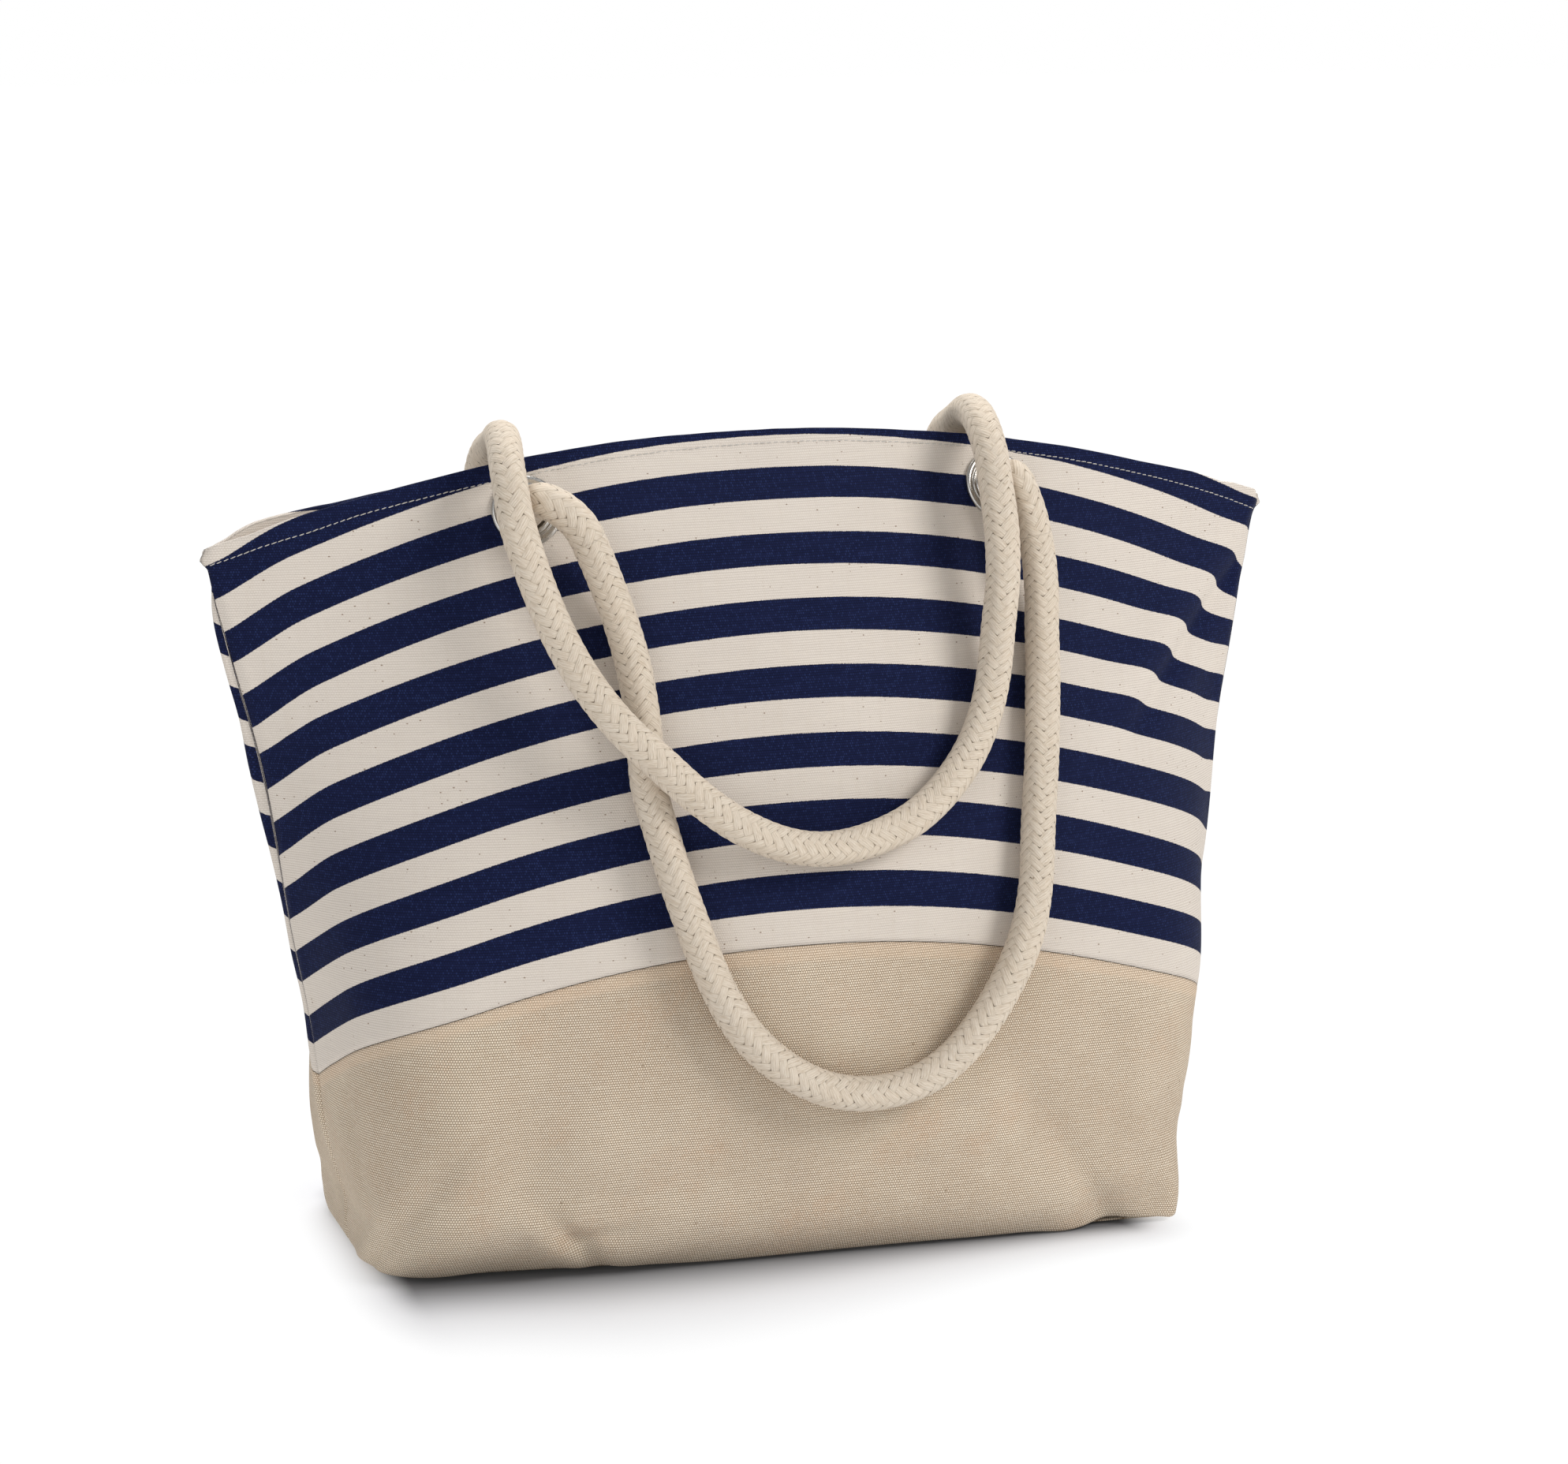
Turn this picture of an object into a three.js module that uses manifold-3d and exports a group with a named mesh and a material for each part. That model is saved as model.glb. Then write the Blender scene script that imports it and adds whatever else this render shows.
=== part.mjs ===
// Rope-handled beach bag: striped canvas upper, woven jute lower, boxed base,
// four metal eyelets and two rope handles. Millimetres, +Z up, origin at the
// middle of the underside of the base. -Y is the front.
import * as THREE from 'three';
import { mergeVertices } from 'three/addons/utils/BufferGeometryUtils.js';
import Module from 'manifold-3d';

const wasm = await Module();
wasm.setup();

// ---------------------------------------------------------------- dimensions
// Horizontal sections of the bag at these heights. A section runs from a
// rounded rectangle at the floor to a lens shape at the mouth.
const HEIGHTS = [0, 15, 50, 100, 160, 240, 300, 340, 390];
const HALF_WIDTH_LEFT = [193, 202, 213, 220, 233, 246, 261, 270, 281];
const HALF_WIDTH_RIGHT = [196, 205, 210, 223, 238, 250, 263.5, 273, 283];
const DEPTH_FRONT = [80, 94, 97, 98, 92, 72, 55, 41, 16];
const DEPTH_BACK = [82, 98, 102, 101, 92, 73, 55, 38, 18];
const LENS_HEIGHT = 320;      // above this the section is a pure lens
const CORNER_RADIUS = 50;     // rounded corners of the floor section
const TWIST_DEG = -5.5;       // slump: the floor section is turned under the mouth
const TWIST_HEIGHT = 300;     // no turn left above this height

const CANVAS = 2.0;           // canvas thickness with its seam ease
const HEM = 3.4;              // doubled cloth at the top edge
const HEM_HEIGHT = 12;        // width of the turned hem
const JUCO = 2.4;             // jute cloth thickness
const BASE_T = 3.0;           // base cloth thickness
const GAP = 0.4;              // between neighbouring pieces
const SEAM_S = 0.994;         // panels stop just short of the side seam

const ROPE_R = 8.3;           // rope handle, 16.6 mm thick
const ROPE_SIDES = 10;

const EYELET_R = 16.8;        // outside radius of the flange
const EYELET_BORE = 9.6;
const BARREL_R = 10.8;
const FLANGE_T = 2.6;
const WASHER_R = 15.6;
const WASHER_BORE = 11.2;
const WASHER_T = 1.3;
const CLOTH_GRIP = 1.1;       // half of the cloth clamped in an eyelet

// Eyelet centres on the cloth: x and z, the y follows from the cloth.
const FRONT_EYELETS = { left: [-124, 356], right: [115, 357] };
const BACK_EYELETS = { left: [-121, 344], right: [118.5, 344] };
// Hinge lines of the two ropes, parallel to X.
const FRONT_PIVOT = { y: -49, z: 364 };
const BACK_PIVOT = { y: 49.5, z: 352 };

// Centre lines of the ropes at rest, left end to right end.
const FRONT_ROPE = [
  [-124, -49, 364], [-116, -55, 360], [-108, -58, 352], [-102, -58.5, 340], [-96, -58.5, 325],
  [-90, -59, 308], [-86, -63, 291], [-84, -67.5, 275], [-83, -71.5, 259], [-83.5, -77.5, 233],
  [-80, -84, 213], [-76, -89.5, 195], [-71, -94.5, 176], [-65, -100, 155], [-57, -104, 135],
  [-44, -107.5, 115], [-25, -110, 98], [-5, -111, 88], [16, -112, 85], [38, -113, 89],
  [56, -113, 99], [72, -112.5, 115], [86, -110, 134], [97, -105, 153], [105, -98, 176],
  [111, -88, 203], [117, -78, 230], [122, -68.5, 257], [125, -62.5, 275], [126, -58.5, 292],
  [126, -57.5, 310], [123, -58, 333], [119, -56, 351], [115, -49, 364],
];
const BACK_ROPE = [
  [-121, 49.5, 352], [-121, 50, 361.5], [-121, 45, 371], [-121.5, 36, 378], [-122.5, 25.5, 381.5],
  [-124.5, 13.5, 384.5], [-127.5, 0, 387.8], [-131, -14, 389.5], [-134.5, -28, 387.5], [-137.8, -41, 381.5],
  [-139.8, -52.5, 371.5], [-139.8, -60.5, 356],
  [-134, -66, 332], [-124, -71, 305], [-112, -78, 281], [-99, -86.5, 262], [-83, -92.5, 246],
  [-65, -95.5, 229], [-45, -97, 214], [-23, -98, 204], [-2, -97.5, 200.5], [21, -96, 203],
  [45, -92.5, 211], [66, -87, 226], [80, -80.5, 241], [89, -76, 258], [94, -73, 274],
  [97, -71.5, 295], [99.5, -70.5, 318], [100, -67.5, 341], [100, -61.5, 361], [101, -53.5, 376],
  [102.5, -42, 386.3], [105, -28, 392], [108, -14, 393], [111.5, 0, 390.5], [114.5, 13, 386.5],
  [117, 25.5, 382.5], [118, 36.5, 378], [118.5, 45, 371], [118.5, 50, 361.5], [118.5, 49.5, 352],
];

// ------------------------------------------------------------------- helpers
// Smooth curve through a table of values.
function table(xs, ys) {
  const n = xs.length;
  const d = [];
  for (let i = 0; i < n - 1; i++) d.push((ys[i + 1] - ys[i]) / (xs[i + 1] - xs[i]));
  const m = [d[0]];
  for (let i = 1; i < n - 1; i++) {
    const h0 = xs[i] - xs[i - 1];
    const h1 = xs[i + 1] - xs[i];
    m.push((d[i - 1] * h1 + d[i] * h0) / (h0 + h1));
  }
  m.push(d[n - 2]);
  return (x) => {
    let i = 0;
    while (i < n - 2 && x >= xs[i + 1]) i++;
    const h = xs[i + 1] - xs[i];
    const t = Math.min(1.5, Math.max(-0.5, (x - xs[i]) / h));
    const t2 = t * t;
    const t3 = t2 * t;
    return (2 * t3 - 3 * t2 + 1) * ys[i] + (t3 - 2 * t2 + t) * h * m[i]
      + (-2 * t3 + 3 * t2) * ys[i + 1] + (t3 - t2) * h * m[i + 1];
  };
}
const widthLeft = table(HEIGHTS, HALF_WIDTH_LEFT);
const widthRight = table(HEIGHTS, HALF_WIDTH_RIGHT);
const depthFront = table(HEIGHTS, DEPTH_FRONT);
const depthBack = table(HEIGHTS, DEPTH_BACK);

// Height of the top fold and of the seam between canvas and jute, for a
// position s across a panel: -1 at the left side seam, +1 at the right.
const frontTop = (s) => 388.5 - 1.6 * s - 43.8 * s * s + 2.7 * s ** 3 - 6 * s ** 4;
const backTop = (s) => 378 - 1 * s - 33 * s * s + 1.5 * s ** 3 - 6 * s ** 4;
const seam = (s) => 154.4 - 4.7 * s - 68.8 * s * s + 3.6 * s ** 3;

// A point of the bag's middle surface.
function section(s, z, back) {
  const w = (s < 0 ? widthLeft : widthRight)(z);
  const D = (back ? depthBack : depthFront)(z);
  const R = Math.min(CORNER_RADIUS, D * 0.95);
  const a = Math.abs(s);
  const L1 = w - R;
  const L2 = Math.PI * R / 2;
  const L = L1 + L2 + D - R;
  const p = a * L;
  let x = p;
  let y = D;
  if (p >= L1 + L2) {
    x = w;
    y = D - R - (p - L1 - L2);
  } else if (p >= L1) {
    x = L1 + R * Math.sin((p - L1) / R);
    y = D - R + R * Math.cos((p - L1) / R);
  }
  const u = Math.min(1, Math.max(0, z / LENS_HEIGHT));
  const l = u * u * (3 - 2 * u);
  const X = ((1 - l) * x + l * w * a) * Math.sign(s);
  const Y = ((1 - l) * y + l * D * (1 - a * a)) * (back ? 1 : -1);
  const psi = THREE.MathUtils.degToRad(TWIST_DEG) * Math.min(1, Math.max(0, 1 - z / TWIST_HEIGHT));
  const c = Math.cos(psi);
  const n = Math.sin(psi);
  return new THREE.Vector3(X * c - Y * n, X * n + Y * c, z);
}
// Outward unit normal of that surface.
function normal(s, z, back) {
  const e = 0.002;
  const a = section(s + e, z, back).sub(section(s - e, z, back));
  const b = section(s, z + 0.5, back).sub(section(s, z - 0.5, back));
  const n = a.cross(b).normalize();
  return back ? n.negate() : n;
}

// A closed sheet: a grid of middle points p(i, j) with normals, thickened.
function sheet(cols, rows, mid, nrm, half) {
  const pos = [];
  const idx = [];
  const id = (i, j, k) => ((j * (cols + 1) + i) * 2 + k);
  for (let j = 0; j <= rows; j++) {
    for (let i = 0; i <= cols; i++) {
      const p = mid(i / cols, j / rows);
      const n = nrm(i / cols, j / rows);
      const h = half(j / rows);
      const a = p.clone().addScaledVector(n, h);
      const b = p.clone().addScaledVector(n, -h);
      pos.push(a.x, a.y, a.z, b.x, b.y, b.z);
    }
  }
  const quad = (a, b, c, d) => idx.push(a, b, c, a, c, d);
  for (let j = 0; j < rows; j++) {
    for (let i = 0; i < cols; i++) {
      quad(id(i, j, 0), id(i + 1, j, 0), id(i + 1, j + 1, 0), id(i, j + 1, 0));
      quad(id(i, j, 1), id(i, j + 1, 1), id(i + 1, j + 1, 1), id(i + 1, j, 1));
    }
  }
  for (let i = 0; i < cols; i++) {
    quad(id(i, 0, 1), id(i + 1, 0, 1), id(i + 1, 0, 0), id(i, 0, 0));
    quad(id(i, rows, 0), id(i + 1, rows, 0), id(i + 1, rows, 1), id(i, rows, 1));
  }
  for (let j = 0; j < rows; j++) {
    quad(id(0, j, 0), id(0, j + 1, 0), id(0, j + 1, 1), id(0, j, 1));
    quad(id(cols, j, 1), id(cols, j + 1, 1), id(cols, j + 1, 0), id(cols, j, 0));
  }
  const g = new THREE.BufferGeometry();
  g.setAttribute('position', new THREE.Float32BufferAttribute(pos, 3));
  g.setIndex(idx);
  return outward(g);
}
// Turns a geometry's faces so that its volume is positive.
function outward(g) {
  const p = g.attributes.position;
  const ix = g.index.array;
  let v = 0;
  const A = new THREE.Vector3();
  const B = new THREE.Vector3();
  const C = new THREE.Vector3();
  for (let i = 0; i < ix.length; i += 3) {
    A.fromBufferAttribute(p, ix[i]);
    B.fromBufferAttribute(p, ix[i + 1]);
    C.fromBufferAttribute(p, ix[i + 2]);
    v += A.dot(B.cross(C));
  }
  if (v < 0) {
    for (let i = 0; i < ix.length; i += 3) {
      const t = ix[i + 1];
      ix[i + 1] = ix[i + 2];
      ix[i + 2] = t;
    }
  }
  return g;
}
// Geometry to solid and back, for joins and cuts.
function solid(geometry) {
  const g = geometry.clone();
  for (const k of Object.keys(g.attributes)) if (k !== 'position') g.deleteAttribute(k);
  const m = outward(mergeVertices(g, 1e-4));
  return new wasm.Manifold(new wasm.Mesh({
    numProp: 3,
    vertProperties: new Float32Array(m.attributes.position.array),
    triVerts: new Uint32Array(m.index.array),
  }));
}
function fromSolid(s) {
  const m = s.getMesh();
  const g = new THREE.BufferGeometry();
  g.setAttribute('position', new THREE.BufferAttribute(new Float32Array(m.vertProperties), 3));
  g.setIndex(new THREE.BufferAttribute(new Uint32Array(m.triVerts), 1));
  return g;
}
// Moves a geometry built around +Y (lathe axis) to a point and direction.
function along(g, point, direction) {
  const q = new THREE.Quaternion().setFromUnitVectors(new THREE.Vector3(0, 1, 0), direction);
  g.applyQuaternion(q);
  g.translate(point.x, point.y, point.z);
  return g;
}
const cylinder = (r, from, to, sides = 24) => {
  const g = new THREE.CylinderGeometry(r, r, to - from, sides);
  g.translate(0, (from + to) / 2, 0);
  return g;
};
const ringLathe = (points, sides = 24) => new THREE.LatheGeometry(
  [...points, points[0]].map(([r, h]) => new THREE.Vector2(r, h)), sides);

// Where an eyelet sits: s across the panel for a given x and z.
function place(x, z, back) {
  let lo = -1;
  let hi = 1;
  for (let i = 0; i < 50; i++) {
    const s = (lo + hi) / 2;
    if (section(s, z, back).x < x) lo = s; else hi = s;
  }
  const s = (lo + hi) / 2;
  return { point: section(s, z, back), dir: normal(s, z, back) };
}

// ----------------------------------------------------------------- materials
const canvas = new THREE.MeshStandardMaterial({ color: 0xd9cfc2, roughness: 0.95, metalness: 0 });
const juco = new THREE.MeshStandardMaterial({ color: 0xc4ae92, roughness: 0.97, metalness: 0 });
const rope = new THREE.MeshStandardMaterial({ color: 0xdcd2bf, roughness: 0.95, metalness: 0 });
const nickel = new THREE.MeshStandardMaterial({ color: 0xb9bbbf, roughness: 0.28, metalness: 1 });

const bag = new THREE.Group();
function add(name, geometry, material) {
  if (!geometry.attributes.normal) geometry.computeVertexNormals();
  const mesh = new THREE.Mesh(geometry, material);
  mesh.name = name;
  bag.add(mesh);
  return mesh;
}

// -------------------------------------------------------------------- panels
// Rows of a panel, closer together at its ends.
const spread = (s) => SEAM_S * Math.sin(s * Math.PI / 2) * 0.35 + SEAM_S * s * 0.65;
function upper(back) {
  const top = back ? backTop : frontTop;
  const lo = (s) => seam(s) + GAP;
  const hi = (s) => top(s) - HEM / 2;
  const s = (u) => spread(2 * u - 1);
  const h = (u, v) => lo(s(u)) + (hi(s(u)) - lo(s(u))) * v;
  const hemFrom = 1 - HEM_HEIGHT / 225;
  const rowsAt = [0, 0.22, 0.44, 0.66, 0.82, hemFrom, 1];
  const v = (t) => rowsAt[Math.round(t * 6)];
  return sheet(22, 6,
    (u, t) => section(s(u), h(u, v(t)), back),
    (u, t) => normal(s(u), h(u, v(t)), back),
    (t) => (v(t) > hemFrom - 1e-6 ? HEM : CANVAS) / 2);
}
function lower(back) {
  const s = (u) => spread(2 * u - 1);
  const rowsAt = [0, 0.06, 0.2, 0.5, 0.78, 1];
  const v = (t) => rowsAt[Math.round(t * 5)];
  const h = (u, t) => 0.4 + (seam(s(u)) - GAP - 0.4) * v(t);
  return sheet(26, 5,
    (u, t) => section(s(u), h(u, t), back),
    (u, t) => normal(s(u), Math.max(h(u, t), 12), back),
    () => JUCO / 2);
}

// Eyelets and washers, with the holes they need in the canvas.
function fitting(x, z, back) {
  const { point, dir } = place(x, z, back);
  const eyelet = along(ringLathe([
    [EYELET_BORE, -4.6], [BARREL_R, -4.6], [BARREL_R, CLOTH_GRIP + GAP],
    [EYELET_R - 0.8, CLOTH_GRIP + GAP], [EYELET_R, CLOTH_GRIP + GAP + 0.9],
    [EYELET_R - 1.4, CLOTH_GRIP + FLANGE_T], [EYELET_R - 4.2, CLOTH_GRIP + FLANGE_T - 0.6],
    [EYELET_BORE + 0.9, CLOTH_GRIP + FLANGE_T - 0.5], [EYELET_BORE, CLOTH_GRIP + 1.2],
  ]), point, dir);
  const washer = along(ringLathe([
    [WASHER_BORE, -CLOTH_GRIP - GAP - WASHER_T], [WASHER_R, -CLOTH_GRIP - GAP - WASHER_T],
    [WASHER_R, -CLOTH_GRIP - GAP], [WASHER_BORE, -CLOTH_GRIP - GAP],
  ]), point, dir);
  const cut = solid(along(cylinder(BARREL_R + GAP, -12, 12), point, dir))
    .add(solid(along(cylinder(EYELET_R + GAP, CLOTH_GRIP, 12), point, dir)))
    .add(solid(along(cylinder(WASHER_R + GAP, -12, -CLOTH_GRIP), point, dir)));
  return { point, dir, eyelet, washer, cut };
}

// A rope end: the stretch through the eyelet, its knot and a short tail.
function ropeEnd({ point, dir }, pivotY, pivotZ, back) {
  const pivot = new THREE.Vector3(point.x, pivotY, pivotZ);
  const reach = pivot.clone().sub(point).dot(dir) - ROPE_R - 0.6;
  const stub = solid(along(cylinder(ROPE_R, -14, reach, 12), point, dir));
  const k = new THREE.SphereGeometry(1, 14, 10);
  k.scale(18, 11, 18);
  const q = point.clone().addScaledVector(dir, -15.8);
  const knot = along(k, q, dir);
  const t = new THREE.CylinderGeometry(ROPE_R, ROPE_R * 0.9, 34, 12);
  t.rotateX(Math.PI / 2 + (back ? -0.1 : 0.1));
  t.translate(q.x + (back ? -4 : 4), q.y, q.z - 24);
  return fromSolid(stub.add(solid(knot)).add(solid(t)));
}

// The side seams lie in the bag's turned middle surface. Everything behind it
// is cut from a front panel, and everything before it from a back panel.
function beyondSeams(back) {
  const turn = (x, y, z) => {
    const psi = THREE.MathUtils.degToRad(TWIST_DEG) * Math.min(1, Math.max(0, 1 - z / TWIST_HEIGHT));
    return new THREE.Vector3(x * Math.cos(psi) - y * Math.sin(psi), x * Math.sin(psi) + y * Math.cos(psi), z);
  };
  const side = back ? -1 : 1;
  return solid(sheet(8, 22,
    (u, v) => turn(640 * u - 320, side * 16, 430 * v - 20),
    (u, v) => turn(0, -1, 430 * v - 20).setZ(0).normalize(),
    () => 16 + GAP / 2));
}
const keepFront = beyondSeams(false);
const keepBack = beyondSeams(true);

const front = {};
const rear = {};
let frontUpper = solid(upper(false)).subtract(keepFront);
let backUpper = solid(upper(true)).subtract(keepBack);
for (const side of ['left', 'right']) {
  front[side] = fitting(...FRONT_EYELETS[side], false);
  rear[side] = fitting(...BACK_EYELETS[side], true);
  frontUpper = frontUpper.subtract(front[side].cut);
  backUpper = backUpper.subtract(rear[side].cut);
}
add('front_canvas_panel', fromSolid(frontUpper), canvas);
add('back_canvas_panel', fromSolid(backUpper), canvas);
add('front_jute_panel', fromSolid(solid(lower(false)).subtract(keepFront)), juco);
add('back_jute_panel', fromSolid(solid(lower(true)).subtract(keepBack)), juco);

// Base: a flat panel inside the lower edge of the two jute panels.
{
  const ring = [];
  const inset = JUCO / 2 + 1.2;
  const push = (s, back) => {
    const p = section(s, 0, back);
    const n = normal(s, 12, back).setZ(0).normalize();
    ring.push(new THREE.Vector2(p.x - n.x * inset, p.y - n.y * inset));
  };
  for (let i = -14; i <= 14; i++) push(spread(i / 14), false);
  for (let i = 14; i >= -14; i--) push(spread(i / 14), true);
  const shape = new THREE.Shape(ring);
  const g = new THREE.ExtrudeGeometry(shape, { depth: BASE_T, bevelEnabled: false });
  add('base_panel', g, juco);
}

// ------------------------------------------------------- eyelets and handles
for (const [name, set, pivot, back] of [
  ['front', front, FRONT_PIVOT, false], ['back', rear, BACK_PIVOT, true]]) {
  for (const side of ['left', 'right']) {
    add(`${name}_${side}_eyelet`, set[side].eyelet, nickel);
    add(`${name}_${side}_washer`, set[side].washer, nickel);
    add(`${name}_${side}_rope_end`, ropeEnd(set[side], pivot.y, pivot.z, back), rope);
  }
}
function handle(name, points, steps) {
  const curve = new THREE.CatmullRomCurve3(points.map((p) => new THREE.Vector3(...p)), false, 'centripetal');
  const disc = new THREE.Shape();
  for (let i = 0; i < ROPE_SIDES; i++) {
    const a = i / ROPE_SIDES * Math.PI * 2;
    const p = [Math.cos(a) * ROPE_R, Math.sin(a) * ROPE_R];
    if (i) disc.lineTo(...p); else disc.moveTo(...p);
  }
  disc.closePath();
  const tube = new THREE.ExtrudeGeometry(disc, { steps, extrudePath: curve, bevelEnabled: false });
  let body = solid(tube);
  for (const end of [points[0], points[points.length - 1]]) {
    const ball = new THREE.SphereGeometry(ROPE_R, 12, 8);
    ball.translate(...end);
    body = body.add(solid(ball));
  }
  add(name, fromSolid(body), rope);
}
handle('front_rope_handle', FRONT_ROPE, 36);
handle('back_rope_handle', BACK_ROPE, 38);

export default bag;
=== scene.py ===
"""Beach bag: striped canvas over woven jute, four eyelets, two braided rope handles.

Lengths are in millimetres in the numpy code and in metres in Blender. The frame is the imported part's:
+Z up, origin at the middle of the underside, -Y the front.
"""
import math

import bpy
import numpy as np
from mathutils import Matrix, Vector


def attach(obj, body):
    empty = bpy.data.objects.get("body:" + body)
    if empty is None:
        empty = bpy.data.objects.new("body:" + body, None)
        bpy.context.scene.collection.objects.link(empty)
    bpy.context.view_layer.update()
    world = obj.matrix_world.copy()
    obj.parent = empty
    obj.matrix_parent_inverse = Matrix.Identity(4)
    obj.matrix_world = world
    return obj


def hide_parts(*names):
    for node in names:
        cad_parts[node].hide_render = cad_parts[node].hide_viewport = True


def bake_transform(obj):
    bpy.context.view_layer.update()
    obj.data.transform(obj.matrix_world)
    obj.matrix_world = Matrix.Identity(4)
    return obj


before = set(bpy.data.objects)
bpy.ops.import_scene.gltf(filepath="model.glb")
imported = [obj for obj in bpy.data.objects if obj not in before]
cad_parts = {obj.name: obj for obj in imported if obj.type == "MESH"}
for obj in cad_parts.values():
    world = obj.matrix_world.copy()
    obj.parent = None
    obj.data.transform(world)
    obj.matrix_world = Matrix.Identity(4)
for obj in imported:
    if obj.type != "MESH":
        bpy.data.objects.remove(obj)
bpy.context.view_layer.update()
scene = bpy.context.scene
MM = 0.001


# ------------------------------------------------------------------ camera
def make_camera():
    place = np.array([-0.742488, -1.856350, 0.594960])
    azimuth, elevation, roll = math.radians(21.8), math.radians(12.0), math.radians(-0.235)
    focal = 5306.0
    back = np.array([-math.sin(azimuth) * math.cos(elevation), -math.cos(azimuth) * math.cos(elevation), math.sin(elevation)])
    fwd = -back
    right = np.cross(fwd, [0, 0, 1])
    right /= np.linalg.norm(right)
    up = np.cross(right, fwd)
    r = math.cos(roll) * right + math.sin(roll) * up
    u = -math.sin(roll) * right + math.cos(roll) * up
    # aim at the middle of the frame instead of shifting the lens
    fwd2 = fwd + r * (994 - 956.4) / focal - u * (928 - 1105.9) / focal
    fwd2 /= np.linalg.norm(fwd2)
    u2 = u - fwd2 * (u @ fwd2)
    u2 /= np.linalg.norm(u2)
    r2 = np.cross(fwd2, u2)
    data = bpy.data.cameras.new("camera")
    data.sensor_fit = "HORIZONTAL"
    data.sensor_width = 36.0
    data.lens = 36.0 * focal * 1.001 / 1988.0
    data.clip_start, data.clip_end = 0.05, 60.0
    cam = bpy.data.objects.new("camera", data)
    m = Matrix(((r2[0], u2[0], -fwd2[0], place[0]), (r2[1], u2[1], -fwd2[1], place[1]), (r2[2], u2[2], -fwd2[2], place[2]), (0, 0, 0, 1)))
    cam.matrix_world = m
    scene.collection.objects.link(cam)
    scene.camera = cam


make_camera()


# ------------------------------------------------------------ shape of the bag
def herm(xk, yk):
    xk, yk = np.asarray(xk, float), np.asarray(yk, float)
    d = np.diff(yk) / np.diff(xk)
    h = np.diff(xk)
    m = np.empty_like(yk)
    m[0], m[-1] = d[0], d[-1]
    m[1:-1] = (d[:-1] * h[1:] + d[1:] * h[:-1]) / (h[:-1] + h[1:])

    def f(x):
        x = np.asarray(x, float)
        i = np.clip(np.searchsorted(xk, x, side="right") - 1, 0, len(xk) - 2)
        w = xk[i + 1] - xk[i]
        t = np.clip((x - xk[i]) / w, -0.5, 1.5)
        t2, t3 = t * t, t * t * t
        return (2 * t3 - 3 * t2 + 1) * yk[i] + (t3 - 2 * t2 + t) * w * m[i] + (-2 * t3 + 3 * t2) * yk[i + 1] + (t3 - t2) * w * m[i + 1]

    return f


HEIGHTS = [0, 15, 50, 100, 160, 240, 300, 340, 390]
wl = herm(HEIGHTS, [193, 202, 213, 220, 233, 246, 261, 270, 281])
wr = herm(HEIGHTS, [196, 205, 210, 223, 238, 250, 263.5, 273, 283])
df = herm(HEIGHTS, [80, 94, 97, 98, 92, 72, 55, 41, 16])
db = herm(HEIGHTS, [82, 98, 102, 101, 92, 73, 55, 38, 18])
TWIST = math.radians(-5.5)
# Small departures of the slumped cloth from the plain section, in mm by height.
wl_slump = herm([0, 5, 15, 25, 35, 50, 70, 100, 130, 200, 244, 275, 290, 305, 320, 334, 400], [9, 7.5, 2, -2, -2, -1.5, -1, -0.5, -1.5, -2.3, -1.7, -1.1, -0.8, -0.3, 0.2, 0.1, 0])
wr_slump = herm([0, 10, 19, 27, 35, 44, 52, 60, 68, 77, 85, 93, 102, 118, 151, 176, 226, 276, 300, 310, 330, 345, 400],
                [-6, -10.0, -12.4, -12.6, -10.6, -6.6, -3.2, -1.9, -0.9, -1.0, -1.4, -1.9, -1.3, 0.6, 1.0, 1.6, 2.2, 2.4, 1.6, 1.4, 0.2, 1.4, 0])
dr_slump = herm([0, 15, 35, 60, 90, 120], [0, 11, 9.5, 4, 0, 0])
dl_slump = herm([0, 15, 35, 60, 90, 120], [8, 8, 5, 2, 0, 0])


def smooth(t):
    t = np.clip(t, 0, 1)
    return t * t * (3 - 2 * t)


def bump(x, c, w):
    return np.exp(-((x - c) / w) ** 2)


def outline(s, z, back):
    """Half width, depth and corner radius of the section."""
    w = np.where(s < 0, wl(z) + wl_slump(z), wr(z) + wr_slump(z))
    d = (db if back else df)(z)
    if not back:
        d = d - smooth((s - 0.3) / 0.35) * dr_slump(np.minimum(z, 120)) - smooth((-s - 0.25) / 0.4) * dl_slump(np.minimum(z, 120))
    low = np.where(s < 0, 38.0 if back else 36.0, 40.0 if back else 4.0)
    r = np.minimum(low + (50 - low) * smooth(z / 70.0), d * 0.95)
    return w, d, r


def half_length(s, z, back):
    """Length of a section from the middle of a panel to its side seam."""
    w, d, r = outline(s, z, back)
    lens = np.sqrt(w * w + (1.1 * d) ** 2)
    k = smooth(z / 320.0)
    return (1 - k) * (w - r + math.pi * r / 2 + d - r) + k * lens


def section(s, z, back):
    """The cloth's middle surface, before the floor section is turned under the mouth."""
    s, z = np.broadcast_arrays(np.asarray(s, float), np.asarray(z, float))
    w, d, r = outline(s, z, back)
    a = np.abs(s)
    l1, l2, l3 = w - r, math.pi * r / 2, d - r
    p = a * (l1 + l2 + l3)
    x = np.where(p < l1, p, np.where(p < l1 + l2, l1 + r * np.sin(np.clip((p - l1) / r, 0, math.pi / 2)), w))
    y = np.where(p < l1, d, np.where(p < l1 + l2, d - r + r * np.cos(np.clip((p - l1) / r, 0, math.pi / 2)), d - r - (p - l1 - l2)))
    k = smooth(z / 320.0)
    return np.stack([((1 - k) * x + k * w * a) * np.sign(s), ((1 - k) * y + k * d * (1 - a * a)) * (1 if back else -1), z], -1)


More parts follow.
